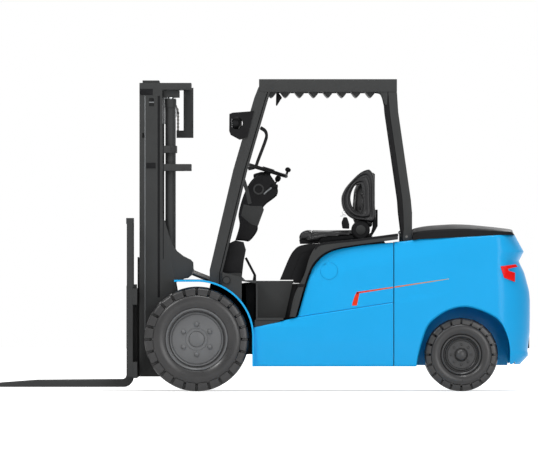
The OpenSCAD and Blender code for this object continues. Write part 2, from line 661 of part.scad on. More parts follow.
module lift_barrels() color(dark) row() both() translate([lift_x, lift_y, 0]) difference() {
  union() {
    translate([0, 0, mast_foot + 40]) cylinder(r = lift_r, h = barrel_top - mast_foot - 40,
      $fn = 48);
    translate([0, 0, mast_foot + 40]) cylinder(r = lift_r + 5, h = 60, $fn = 48);
    translate([0, 0, barrel_top - 60]) cylinder(r = lift_r + 4, h = 60, $fn = 48);
  }
  translate([0, 0, mast_foot + 90]) cylinder(r = lift_rod_r + 2.5,
    h = barrel_top - gland_t - mast_foot - 90, $fn = 48);
  translate([0, 0, mast_foot + 90]) cylinder(r = lift_rod_r + fit, h = big, $fn = 48);
}

module lift_rods() color(steel) row() both() translate([lift_x, lift_y, 380])
  cylinder(r = lift_rod_r, h = head_z - 380, $fn = 48);

// Inner mast: channels, a head plate that the rods push, a low tie and slide pads
pad_z = 160;
module inner_mast() color(dark) row() {
  both() {
    channel(-inner_front, -inner_back, inner_half, channel_web, inner_flange, inner_reach,
      mast_foot + 12, inner_top);
    block(-inner_front + 20, -inner_back - 20, inner_half - 1, inner_half + slide_gap - fit,
      pad_z, pad_z + 100);
    block(-inner_back - 1, -inner_back + slide_gap - fit, mast_half - channel_reach + 4, inner_half,
      pad_z, pad_z + 100);
  }
  block(-inner_back - 8, -mast_back + 7, -inner_reach_y, inner_reach_y, head_z, head_z + head_h);
  block(-mast_back + 6, -120, -335, 335, head_z, head_z + head_h);
  block(-inner_back - 8, -inner_back + 14, -inner_reach_y, inner_reach_y, 330, 450);
}

// Chain wheels on hangers under the head plate
chain_r = 82;
chain_x = -213;
chain_z = 1898;
chain_t = 6;
strand_y0 = wheel_y0 + 3;
strand_y1 = wheel_y1 - 3;
module chain_wheels() color(steel) row() both() {
  disc(chain_x, chain_z, chain_r - chain_t, wheel_y0, wheel_y1);
  disc(chain_x, chain_z, 16, wheel_y0 - 18, wheel_y1 + 18, 32);
  for (y = [wheel_y0 - 18, wheel_y1 + 6])
    block(chain_x - 22, chain_x + 22, y, y + 12, chain_z - 24, head_z);
}
module chain_front() color(steel) row() both()
  block(chain_x - chain_r, chain_x - chain_r + chain_t, strand_y0, strand_y1, 346, chain_z);
module chain_rear() color(steel) row() both()
  block(chain_x + chain_r - chain_t, chain_x + chain_r, strand_y0, strand_y1, 1778, chain_z);

// Tilt cylinder: a barrel hinged on the frame and a rod with an eye on the mast
tilt_dx = tilt_eye_x - tilt_anchor_x;
tilt_dz = tilt_eye_z - tilt_anchor_z;
tilt_len = norm([tilt_dx, tilt_dz]);
tilt_ang = atan2(tilt_dz, -tilt_dx);
tilt_barrel_len = 325;
tilt_rod_r = 18;
module along_tilt() translate([tilt_anchor_x, tilt_y, tilt_anchor_z])
  rotate([0, -90 + tilt_ang, 0]) children();
module tilt_barrel() along_tilt() difference() {
  union() {
    translate([0, 0, 34]) cylinder(r = 34, h = tilt_barrel_len - 34, $fn = 48);
    rotate([90, 0, 0]) cylinder(r = 30, h = 46, center = true, $fn = 48);
    translate([-20, -20, 0]) cube([40, 40, 60]);
  }
  rotate([90, 0, 0]) cylinder(r = tilt_pin_r + pin_gap, h = 80, center = true, $fn = 48);
  translate([0, 0, 70]) cylinder(r = tilt_rod_r + 2, h = tilt_barrel_len - 100, $fn = 48);
  translate([0, 0, 70]) cylinder(r = tilt_rod_r + fit, h = tilt_barrel_len, $fn = 48);
}
module tilt_rod() along_tilt() difference() {
  union() {
    translate([0, 0, 180]) cylinder(r = tilt_rod_r, h = tilt_len - 204, $fn = 48);
    translate([0, 0, tilt_len]) rotate([90, 0, 0]) cylinder(r = 32, h = 40, center = true, $fn = 48);
  }
  translate([0, 0, tilt_len]) rotate([90, 0, 0])
    cylinder(r = tilt_pin_r + 5, h = 80, center = true, $fn = 48);
}
module tilt_barrel_left() color(dark) row() mirror([0, 1, 0]) tilt_barrel();
module tilt_barrel_right() color(dark) row() tilt_barrel();
module tilt_rod_left() color(steel) row() mirror([0, 1, 0]) tilt_rod();
module tilt_rod_right() color(steel) row() tilt_rod();

// Carriage: two fork bars on side plates with rollers that run in the inner channels
plate_x = -405;
roller_x = -(inner_front + inner_back) / 2;
roller_r = (inner_front - inner_back) / 2 - inner_flange - fit;
roller_in = inner_half - inner_reach - 10;
bar_low = [90, 200];
bar_high = [590, 700];
plate_top = 914;
module carriage() color(dark) row() {
  for (b = [bar_low, bar_high]) block(-fork_face + fork_t, plate_x, -carriage_w / 2, carriage_w / 2,
    b[0], b[1]);
  both() {
    across(roller_in - 40, roller_in - 20) polygon([[plate_x, 90], [plate_x, plate_top],
      [-360, plate_top - 20], [-300, plate_top - 90], [-290, 260], [-300, 180], [-370, 120]]);
    for (z = [185, 560]) {
      disc(roller_x, z, 20, roller_in - 20, roller_in + 6, 32);
      disc(roller_x, z, roller_r, roller_in + 6, inner_half - channel_web - 4, 48);
    }
    block(-fork_face + fork_t, plate_x, roller_in - 60, roller_in, 200, 590);
    block(plate_x - 1, chain_x - chain_r + chain_t + 6, wheel_y0, wheel_y1, 300, 346);
    block(-fork_face + fork_t, plate_x, wheel_y0 - 10, wheel_y1 + 10, 200, 590);
  }
}

// Forks: shank and blade in one piece with a hook over each bar
module fork_side() across(fork_y - fork_w / 2, fork_y + fork_w / 2) polygon([
  [-fork_face - fork_len, fork_low + 4], [-fork_face - fork_len + 12, fork_low + 14],
  [-1090, fork_low + 44], [-fork_face - 40, fork_low + 50], [-fork_face - 10, fork_low + 60],
  [-fork_face, fork_low + 90], [-fork_face, 720], [-fork_face + 10, 726],
  [-fork_face + fork_t + 22, 726], [-fork_face + fork_t + 22, 700 + fit],
  [-fork_face + fork_t - fit, 700 + fit], [-fork_face + fork_t - fit, fork_low + 50],
  [-fork_face + fork_t - 12, fork_low + 16], [-fork_face + 8, fork_low],
  [-fork_face - fork_len + 6, fork_low]]);
module forks() color(dark) row() both() fork_side();

// Load backrest: side posts, top bar and upright bars above the fork hooks
post_w = 40;
back_bars = [60, 165, 375];
module load_backrest() color(dark) row() {
  both() {
    block(-fork_face + 4, -fork_face + fork_t - fit, carriage_w / 2 - post_w, carriage_w / 2,
      100, backrest_top - post_w);
    for (y = back_bars) block(-fork_face + 14, -fork_face + fork_t - fit, y - 10, y + 10,
      610, backrest_top - post_w);
  }
  block(-fork_face, -fork_face + fork_t, -carriage_w / 2, carriage_w / 2,
    backrest_top - post_w, backrest_top);
}

frame();
drive_axle();
fenders();
floor_step();
sill_left();
sill_right();
side_panel_left();
side_panel_right();
counterweight();
rear_cover();
tow_pin();
battery();
front_cowl();
dash_console();
pedals();
levers();
guard_roof();
front_pillars();
rear_pillars();
grab_handle();
head_lamps();
tail_lamps();
battery_hood();
seat_base();
seat_cushion();
seat_back();
seat_wings();
steering_wheel();
drive_tyre_left();
drive_rim_left();
drive_tyre_right();
drive_rim_right();
steer_axle();
knuckle_left();
knuckle_right();
steer_tyre_left();
steer_rim_left();
steer_tyre_right();
steer_rim_right();
outer_mast();
lift_barrels();
inner_mast();
lift_rods();
chain_wheels();
chain_front();
chain_rear();
tilt_barrel_left();
tilt_barrel_right();
tilt_rod_left();
tilt_rod_right();
carriage();
forks();
load_backrest();
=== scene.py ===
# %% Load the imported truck
import json
import math

import bmesh
import bpy
import numpy as np
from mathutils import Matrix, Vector

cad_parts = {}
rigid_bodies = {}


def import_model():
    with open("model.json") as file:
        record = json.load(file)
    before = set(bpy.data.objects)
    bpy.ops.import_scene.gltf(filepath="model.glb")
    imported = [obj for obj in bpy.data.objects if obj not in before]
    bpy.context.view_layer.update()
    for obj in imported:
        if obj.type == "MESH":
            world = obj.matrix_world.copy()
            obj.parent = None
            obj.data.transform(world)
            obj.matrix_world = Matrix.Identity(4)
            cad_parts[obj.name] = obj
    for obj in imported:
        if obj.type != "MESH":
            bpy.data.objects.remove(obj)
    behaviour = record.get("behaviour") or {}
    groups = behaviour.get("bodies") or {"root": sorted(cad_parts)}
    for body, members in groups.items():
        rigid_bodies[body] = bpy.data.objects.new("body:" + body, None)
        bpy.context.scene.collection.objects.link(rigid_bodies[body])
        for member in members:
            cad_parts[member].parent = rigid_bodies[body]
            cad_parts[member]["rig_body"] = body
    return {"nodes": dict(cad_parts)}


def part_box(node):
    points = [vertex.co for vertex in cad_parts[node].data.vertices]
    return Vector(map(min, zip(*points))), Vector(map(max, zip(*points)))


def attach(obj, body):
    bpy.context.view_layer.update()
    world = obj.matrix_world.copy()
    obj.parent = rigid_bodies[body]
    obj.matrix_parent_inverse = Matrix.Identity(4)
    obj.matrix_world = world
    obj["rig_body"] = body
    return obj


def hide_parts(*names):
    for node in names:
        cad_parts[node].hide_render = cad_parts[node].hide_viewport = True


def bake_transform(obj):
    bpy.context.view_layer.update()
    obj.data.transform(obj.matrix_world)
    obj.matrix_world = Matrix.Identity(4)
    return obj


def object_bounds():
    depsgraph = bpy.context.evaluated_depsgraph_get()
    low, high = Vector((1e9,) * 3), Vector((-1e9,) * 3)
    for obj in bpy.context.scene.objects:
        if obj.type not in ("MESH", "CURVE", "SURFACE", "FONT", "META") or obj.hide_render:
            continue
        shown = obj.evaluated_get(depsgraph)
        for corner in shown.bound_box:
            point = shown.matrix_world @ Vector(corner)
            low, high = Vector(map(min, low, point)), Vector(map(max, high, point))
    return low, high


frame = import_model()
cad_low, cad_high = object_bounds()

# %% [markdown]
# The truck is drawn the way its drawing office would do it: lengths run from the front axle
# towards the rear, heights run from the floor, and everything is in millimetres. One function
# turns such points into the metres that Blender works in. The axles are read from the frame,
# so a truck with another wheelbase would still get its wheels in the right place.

MM = 0.001
SIDES = (-1, 1)
SIDE_NAMES = ((-1, "left"), (1, "right"))
front_low, front_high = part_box("drive_tyre_left")
rear_low, rear_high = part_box("steer_tyre_left")
AXLE_X = (front_low.x + front_high.x) / 2
FRONT_Z = (front_low.z + front_high.z) / 2 / MM
REAR_X = ((rear_low.x + rear_high.x) / 2 - AXLE_X) / MM
REAR_Z = (rear_low.z + rear_high.z) / 2 / MM


def to_metres(points):
    """Points in millimetres from the front axle become metres in the truck's frame."""
    moved = np.asarray(points, float) * MM
    moved[..., 0] += AXLE_X
    return moved


def mm_box(node):
    """A CAD node's lowest and highest corner on the truck's own ruler."""
    low, high = (np.array(corner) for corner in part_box(node))
    low[0] -= AXLE_X
    high[0] -= AXLE_X
    return low / MM, high / MM


print(f"wheelbase {REAR_X:.0f} mm, axle heights {FRONT_Z:.0f} and {REAR_Z:.0f} mm")

# %% [markdown]
# A product photograph of a machine is taken from far away with a long lens, so that the
# outline is almost a side drawing. The camera stands level with the middle of the frame. The
# lens follows from the width that the picture has to show at the near side of the truck.

# %% Camera
SHOWN_WIDTH = 3.658
CAMERA_FAR = 110.0
SENSOR = 36.0
camera_data = bpy.data.cameras.new("camera")
camera_data.sensor_width = SENSOR
camera_data.lens = SENSOR * CAMERA_FAR / SHOWN_WIDTH
camera_data.clip_end = 400.0
camera = bpy.data.objects.new("camera", camera_data)
camera.location = (0.132, cad_low.y - CAMERA_FAR, 1.088)
camera.rotation_euler = (math.radians(90), 0, 0)
bpy.context.scene.collection.objects.link(camera)
bpy.context.scene.camera = camera
print(f"lens {camera_data.lens:.0f} mm at {CAMERA_FAR:.0f} m")

# %% [markdown]
# Every finish is a procedural material. One helper builds the part that they share: a
# principled shader whose colour drifts between two near tones, whose roughness drifts a
# little, and whose surface has a fine grain. The patterns read Object coordinates, which are
# metres here because every piece keeps its object at the origin. Values that are the same all
# over are typed into the shader's own sockets.

# %% Shared material helper
NOISE_SPAN = (0.3, 0.7)


def new_node(tree, kind, **values):
    """A node of the kind, with the values put on its inputs or on its own settings."""
    node = tree.nodes.new(kind)
    for key, value in values.items():
        if key in node.inputs:
            node.inputs[key].default_value = value
        else:
            setattr(node, key, value)
    return node


def map_range(tree, from_min=0.0, from_max=1.0, to_min=0.0, to_max=1.0, **values):
    """A node that carries one span of numbers over to another."""
    return new_node(tree, "ShaderNodeMapRange", **{"From Min": from_min, "From Max": from_max,
                                                   "To Min": to_min, "To Max": to_max}, **values)


def finish(name, slot, tone_a, tone_b, rough, grain, grain_scale, drift_scale=3.0, **sockets):
    """A principled material. slot is not used. tone_a and tone_b are the two colours
    that a wide noise mixes, rough is the pair of roughness values for that same noise, and
    grain is the height of a fine noise bump in millimetres, with grain_scale features a metre."""
    made = bpy.data.materials.new(name)
    made.use_nodes = True
    tree = made.node_tree
    shader = tree.nodes["Principled BSDF"]
    for key, value in sockets.items():
        shader.inputs[key.replace("_", " ")].default_value = value
    place = new_node(tree, "ShaderNodeTexCoord")
    wide = new_node(tree, "ShaderNodeTexNoise", Scale=drift_scale, Detail=6.0, Roughness=0.6)
    tree.links.new(place.outputs["Object"], wide.inputs["Vector"])
    tones = new_node(tree, "ShaderNodeValToRGB")
    for element, at, tone in zip(tones.color_ramp.elements, NOISE_SPAN, (tone_a, tone_b)):
        element.position = at
        element.color = (*tone, 1)
    tree.links.new(wide.outputs["Fac"], tones.inputs["Fac"])
    tree.links.new(tones.outputs["Color"], shader.inputs["Base Color"])
    spread = map_range(tree, *NOISE_SPAN, *rough)
    tree.links.new(wide.outputs["Fac"], spread.inputs["Value"])
    tree.links.new(spread.outputs["Result"], shader.inputs["Roughness"])
    fine = new_node(tree, "ShaderNodeTexNoise", Scale=grain_scale, Detail=3.0)
    tree.links.new(place.outputs["Object"], fine.inputs["Vector"])
    bump = new_node(tree, "ShaderNodeBump", Strength=0.6, Distance=grain * MM)
    tree.links.new(fine.outputs["Fac"], bump.inputs["Height"])
    tree.links.new(bump.outputs["Normal"], shader.inputs["Normal"])
    return made


# %% [markdown]
# The body colour is a clear sky blue with a coat of lacquer, so it has a sharp reflection over
# a softer one. The steelwork is a dark grey powder coat, and the covers round the operator are
# grained black plastic. Rubber, leather and bright steel complete the list.

# %% Finishes of the truck
BLUE = finish("blue_lacquer", "blue_paint", (0.006, 0.385, 0.80), (0.009, 0.400, 0.83), (0.34, 0.40), 0.02, 700,
              Specular_IOR_Level=0.08, Coat_Weight=0.2, Coat_Roughness=0.12)
DARK = finish("dark_powder_coat", "dark_paint", (0.036, 0.037, 0.037), (0.043, 0.044, 0.044), (0.48, 0.58), 0.05, 1400,
              drift_scale=6.0, Specular_IOR_Level=0.15)
BLACK = finish("black_moulding", "black_plastic", (0.006, 0.006, 0.0065), (0.010, 0.010, 0.011), (0.40, 0.52), 0.08,
               1600, drift_scale=8.0, Specular_IOR_Level=0.10)
RUBBER = finish("tyre_rubber", "tyre_rubber", (0.014, 0.014, 0.015), (0.024, 0.023, 0.023), (0.26, 0.36), 0.20, 420,
                drift_scale=9.0, Specular_IOR_Level=0.50)
LEATHER = finish("seat_leather", "seat_leather", (0.006, 0.006, 0.007), (0.010, 0.010, 0.011), (0.30, 0.42), 0.25, 900,
                 drift_scale=12.0, Specular_IOR_Level=0.35)
RIM = finish("rim_paint", "rim_paint", (0.120, 0.122, 0.126), (0.140, 0.143, 0.147), (0.30, 0.40), 0.04, 900,
             Specular_IOR_Level=0.30)
RIM_DARK = finish("dark_rim_paint", "rim_paint", (0.030, 0.030, 0.031), (0.040, 0.040, 0.041), (0.30, 0.40), 0.04, 900,
                  Specular_IOR_Level=0.45)
STEEL = finish("bright_steel", "bright_steel", (0.50, 0.51, 0.52), (0.62, 0.63, 0.64), (0.18, 0.30), 0.02, 900,
               Metallic=1.0)
CHAIN = finish("oiled_chain_steel", "bright_steel", (0.10, 0.095, 0.09), (0.17, 0.165, 0.16), (0.30, 0.45), 0.05, 900,
               Metallic=0.8)
CASE = finish("battery_case_paint", "battery_case", (0.22, 0.23, 0.24), (0.26, 0.27, 0.28), (0.45, 0.55), 0.05, 900)
RED = finish("red_lens", "red_lens", (0.80, 0.003, 0.002), (0.86, 0.005, 0.003), (0.12, 0.20), 0.05, 300,
             Specular_IOR_Level=0.05, Coat_Weight=0.12, Coat_Roughness=0.05)
PLATED = finish("plated_reflector", "bright_steel", (0.55, 0.56, 0.57), (0.70, 0.71, 0.72), (0.08, 0.16), 0.01, 500,
                Metallic=1.0)

# %% [markdown]
# New pieces are surfaces worked out as whole arrays. A shape is a pair: its points, and its
# faces as lists of point numbers. A grid of points gives quads, a lathe turns a profile about
# a line across the truck, a plate carries an outline across the truck with rounded edges, and
# a tube follows a line. Each returns a shape, and join puts several together.

# %% Shapes from arrays
def grid(points, around=False, along=False):
    """Quads between neighbours of a rows x columns array of points. around also joins the last
    column to the first, and along the last row to the first."""
    rows, cols = points.shape[:2]
    r = np.arange(rows if along else rows - 1)
    c = np.arange(cols if around else cols - 1)
    i, j = (index.ravel() for index in np.meshgrid(r, c, indexing="ij"))
    k, m = (i + 1) % rows, (j + 1) % cols
    faces = np.stack([i * cols + j, i * cols + m, k * cols + m, k * cols + j], axis=1)
    return points.reshape(-1, 3), faces.tolist()


def join(*shapes):
    """Several shapes as one: their points in a row, each shape's faces moved on by the
    number of points before it."""
    points, faces, start = [], [], 0
    for some_points, some_faces in shapes:
        points.append(some_points)
        faces += [[i + start for i in face] for face in some_faces]
        start += len(some_points)
    return np.vstack(points), faces


def lathe(profile, centre, steps=96, ring=False):
    """A profile of (radius, y) turned about the line across the truck through centre, which is
    (x, z): x = centre x + radius cos a and z = centre z + radius sin a."""
    profile = np.asarray(profile, float)
    a = np.linspace(0, 2 * np.pi, steps, endpoint=False)
    r, y = profile[:, :1], profile[:, 1:]
    points = np.stack([centre[0] + r * np.cos(a), y + 0 * a, centre[1] + r * np.sin(a)], axis=2)
    return grid(points, around=True, along=ring)


def drum(radius, y0, y1, centre, steps, bore=0):
    """A cylinder across the truck from y0 to y1, or a ring where bore gives a hole."""
    return lathe([(bore, y0), (radius, y0), (radius, y1), (bore, y1)], centre, steps, ring=bore > 0)


def curve(points, steps):
    """A smooth line through the points. Each stretch is a cubic whose slope at a point is half
    the way from the point before it to the point after it."""
    p = np.asarray(points, float)
    p = np.vstack([2 * p[0] - p[1], p, 2 * p[-1] - p[-2]])
    t = np.linspace(0, len(p) - 3, steps)
    i = np.minimum(t.astype(int), len(p) - 4)
    f = (t - i)[:, None]
    a, b, c, d = p[i], p[i + 1], p[i + 2], p[i + 3]
    return b + 0.5 * f * ((c - a) + f * (2 * a - 5 * b + 4 * c - d + f * (3 * (b - c) + d - a)))


def sweep_line(centre, r, a0, a1, count=25):
    """Points on a circle about centre, from a0 to a1 degrees, counted up from the +X side."""
    a = np.radians(np.linspace(a0, a1, count))[:, None]
    return np.asarray(centre) + r * np.hstack([np.cos(a), np.sin(a)])


def rounded(points, radius, steps=5):
    """A closed outline with its corners rounded. Each corner P becomes the curve
    (1-s)^2 A + 2s(1-s) P + s^2 B between the points A and B one radius before and after it."""
    p = np.asarray(points, float)
    back, on = np.roll(p, 1, axis=0) - p, np.roll(p, -1, axis=0) - p
    reach = np.minimum.reduce([np.linalg.norm(back, axis=1) / 2, np.linalg.norm(on, axis=1) / 2,
                               np.broadcast_to(np.asarray(radius, float), len(p))])[:, None]
    a = p + back / np.linalg.norm(back, axis=1, keepdims=True) * reach
    b = p + on / np.linalg.norm(on, axis=1, keepdims=True) * reach
    s = np.linspace(0, 1, steps)[None, :, None]
    return ((1 - s) ** 2 * a[:, None] + 2 * s * (1 - s) * p[:, None] + s ** 2 * b[:, None]).reshape(-1, 2)


def inset(outline, depth):
    """An anticlockwise outline moved inwards by depth: each point goes along the mean of the
    inward normals of its two edges, and further where the corner is sharp."""
    on = np.roll(outline, -1, axis=0) - outline
    on /= np.maximum(np.linalg.norm(on, axis=1, keepdims=True), 1e-9)
    inward = np.column_stack([-on[:, 1], on[:, 0]])
    mean = inward + np.roll(inward, 1, axis=0)
    mean /= np.maximum(np.linalg.norm(mean, axis=1, keepdims=True), 1e-9)
    stretch = np.maximum(np.sum(mean * inward, axis=1, keepdims=True), 0.4)
    return outline + depth * mean / stretch


def capped(rings):
    """A closed form from a stack of rings of points, its two ends closed by one face each."""
    points, faces = grid(rings, around=True)
    count = rings.shape[1]
    last = len(points) - count
    return points, faces + [list(range(count))[::-1], list(range(last, last + count))]


def plate(outline, y0, y1, edge=3.0, steps=3):
    """An outline in x and z carried across the truck from y0 to y1. Along both faces the
    edge is a quarter circle: the outline is inset by edge (1 - sin a) at edge (1 - cos a)
    behind the face."""
    outline = np.asarray(outline, float)
    x, z = outline.T
    if np.sum(x * np.roll(z, -1) - np.roll(x, -1) * z) < 0:
        outline = outline[::-1]
    a = np.linspace(0, np.pi / 2, steps + 1)
    depths = edge * (1 - np.sin(a))
    backs = edge * (1 - np.cos(a))
    levels = [(d, y0 + b) for d, b in zip(depths, backs)]
    levels += [(d, y1 - b) for d, b in zip(depths[::-1], backs[::-1])]
    rings = [inset(outline, d) for d, _ in levels]
    return capped(np.stack([np.column_stack([o[:, 0], np.full(len(o), y), o[:, 1]])
                            for o, (_, y) in zip(rings, levels)]))


def block(x0, x1, y0, y1, z0, z1, edge=3.0):
    """A box with all its edges rounded."""
    reach = min(edge, (x1 - x0) / 2.1, (y1 - y0) / 2.1, (z1 - z0) / 2.1)
    return plate(rounded([(x0, z0), (x1, z0), (x1, z1), (x0, z1)], reach), y0, y1, reach)


def tube(path, radius, sides=16):
    """A round tube along a line of points: at each point a circle of the radius stands
    square to the line, and both ends are closed to a point."""
    path = np.asarray(path, float)
    along = np.gradient(np.vstack([2 * path[0] - path[1], path[1:-1], 2 * path[-1] - path[-2]]), axis=0)
    path, along = (np.vstack([line[:1], line, line[-1:]]) for line in (path, along))
    along /= np.linalg.norm(along, axis=1, keepdims=True)
    side = np.cross(along, (0, 1, 0))
    side /= np.linalg.norm(side, axis=1, keepdims=True)
    up = np.cross(side, along)
    reach = np.full((len(path), 1, 1), float(radius))
    reach[[0, -1]] = 0
    a = np.linspace(0, 2 * np.pi, sides, endpoint=False)[None, :, None]
    return grid(path[:, None] + reach * (np.cos(a) * side[:, None] + np.sin(a) * up[:, None]), around=True)


def turned(shape, degrees, centre):
    """A shape turned about the line across the truck through centre, which is (x, z)."""
    points, faces = shape
    a = math.radians(degrees)
    x, z = points[:, 0] - centre[0], points[:, 2] - centre[1]
    return np.column_stack([centre[0] + x * math.cos(a) + z * math.sin(a), points[:, 1],
                            centre[1] - x * math.sin(a) + z * math.cos(a)]), faces


def mirrored(shape):
    """The same shape on the other side of the truck, its faces turned back outwards."""
    points, faces = shape
    return points * [1, -1, 1], [face[::-1] for face in faces]


def both(shape):
    """The shape on both sides of the truck."""
    return join(shape, mirrored(shape))


# %% [markdown]
# A shape becomes a piece of the truck in one call: its doubled points are merged, its faces
# are turned outwards, its sharp edges are marked by their angle, it is set on the body it
# rides on, the CAD nodes it stands for are hidden, and it takes the material given.

# %% From shape to piece
WELD = 2e-6


def welded_mesh(name, shape, outward=True):
    """A mesh in metres from a shape: doubled points are merged and faces turned outwards."""
    mesh = bpy.data.meshes.new(name)
    mesh.from_pydata(to_metres(shape[0]).tolist(), [], shape[1])
    made = bmesh.new()
    made.from_mesh(mesh)
    bmesh.ops.remove_doubles(made, verts=made.verts, dist=WELD)
    bmesh.ops.dissolve_degenerate(made, edges=made.edges, dist=WELD)
    if outward:
        bmesh.ops.recalc_face_normals(made, faces=made.faces)
    made.to_mesh(mesh)
    made.free()
    return mesh


def shade(mesh, angle):
    """Smooth shading that breaks at edges sharper than the angle in degrees."""
    mesh.shade_smooth()
    mesh.set_sharp_from_angle(angle=math.radians(angle))


def add_object(name, data):
    thing = bpy.data.objects.new(name, data)
    bpy.context.scene.collection.objects.link(thing)
    return thing


def piece(name, shape, material, body, replaces=(), angle=32, outward=True):
    """A shape as a piece of the truck, with its material."""
    mesh = welded_mesh(name, shape, outward)
    shade(mesh, angle)
    mesh.materials.append(material)
    thing = add_object(name, mesh)
    if body:
        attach(thing, body)
    if replaces:
        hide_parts(*replaces)
    print(f"{name}: {len(mesh.polygons)} faces")
    return thing


def apply_modifiers(thing):
    """Makes what a piece's modifiers show its own mesh."""
    shown = thing.evaluated_get(bpy.context.evaluated_depsgraph_get())
    result = bpy.data.meshes.new_from_object(shown)
    thing.modifiers.clear()
    thing.data = result


def cut(thing, cutter_shape):
    """Takes the cutter's volume out of a piece for good, with an exact Boolean."""
    cutter = add_object("cutter", welded_mesh("cutter", cutter_shape))
    hollow = thing.modifiers.new("hollow", "BOOLEAN")
    hollow.object = cutter
    hollow.operation = "DIFFERENCE"
    hollow.solver = "EXACT"
    apply_modifiers(thing)
    bpy.data.objects.remove(cutter)
    shade(thing.data, 32)


# %% [markdown]
# Many CAD nodes already have the right shape, such as channels, bars and cylinders, but their
# edges are knife sharp, and real steel has a small radius that catches the light. A copy of
# such a node has its loose triangles merged into whole faces and gets a narrow bevel.

# %% Soft edges for CAD shapes
def dress(node, material, edge=2.0):
    """A copy of a CAD node with merged faces and bevelled edges, which stands for the node."""
    source = frame["nodes"][node]
    made = bmesh.new()
    made.from_mesh(source.data)
    bmesh.ops.remove_doubles(made, verts=made.verts, dist=WELD)
    bmesh.ops.dissolve_limit(made, angle_limit=math.radians(0.6), verts=made.verts, edges=made.edges)
    mesh = bpy.data.meshes.new(node + "_finished")
    made.to_mesh(mesh)
    made.free()
    if "custom_normal" in mesh.attributes:
        mesh.attributes.remove(mesh.attributes["custom_normal"])
    shade(mesh, 28)
    mesh.materials.clear()
    mesh.materials.append(material)
    thing = add_object(node + "_finished", mesh)
    if edge > 0:
        soft = thing.modifiers.new("edges", "BEVEL")
        soft.width = edge * MM
        soft.segments = 2
        soft.limit_method = "ANGLE"
        soft.angle_limit = math.radians(40)
    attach(thing, source["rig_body"])
    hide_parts(node)
    return thing


DRESSED = (
    (DARK, 2.0, ("frame", "drive_axle", "floor_step", "front_cowl", "steer_axle", "knuckle_left", "knuckle_right",
                 "lift_barrels", "inner_mast", "tilt_barrel_left", "tilt_barrel_right", "carriage", "load_backrest")),
    (STEEL, 1.0, ("lift_rods", "tow_pin", "chain_wheels")),
    (CHAIN, 1.0, ("tilt_rod_left", "tilt_rod_right")),
    (BLACK, 1.5, ("levers", "seat_base", "pedals", "head_lamps")),
    (BLACK, 0, ("steering_wheel",)),
    (CASE, 4.0, ("battery",)))
for material, edge, nodes in DRESSED:
    for node in nodes:
        dress(node, material, edge)
print("CAD shapes dressed")

# %% [markdown]
# The tyres are solid industrial tyres. Their sidewall is a fat rounded bulge, and their tread
# is two rings of heavy lugs, staggered from side to side. They could be cut from a ring with
# hundreds of Booleans. Here each tyre is one grid instead: two profiles from bead to bead, one
# over a lug and one down in a cut, and every column of the grid takes one or the other.

# %% Tyres
def tyre_profiles(radius, width, bead, root):
    """The left half of the two profiles, as rows of (radius, y) from the bead to the middle
    of the tread: over a lug, and down in the cut between two lugs."""
    h = width / 2
    wall = curve([(bead, -h + 24), (bead + 14, -h + 20), (bead + 0.30 * (root - bead), -h + 9),
                  (bead + 0.52 * (root - bead), -h + 1.5), (bead + 0.72 * (root - bead), -h + 0.2),
                  (bead + 0.90 * (root - bead), -h + 4), (root - 1, -h + 10)], 15)
    t = radius - root
    lug = np.array([(root, -h + 10.5), (root + 1.5, -h + 7), (root + 0.3 * t, -h + 7),
                    (root + 0.62 * t, -h + 9), (root + 0.74 * t, -h + 11), (root + 0.86 * t, -h + 16),
                    (root + 0.95 * t, -h + 24), (radius - 0.3, -h + 34), (radius, -h + 46),
                    (radius, -0.30 * h), (radius, -0.26 * h), (radius, -0.03 * h), (radius, 0)])
    low = np.array([(root, -h + 10.5), (root + 0.5, -h + 11), (root + 1, -h + 12),
                    (root + 3, -h + 20), (root + 5, -h + 28), (root + 8, -h + 38),
                    (root + 10, -h + 46), (root + 11, -h + 52), (root + 12, -h + 58),
                    (root + 14, -0.30 * h), (radius - 9, -0.26 * h), (radius - 8, -0.03 * h), (radius - 0.5, 0)])
    return np.vstack([wall, lug]), np.vstack([wall, low])


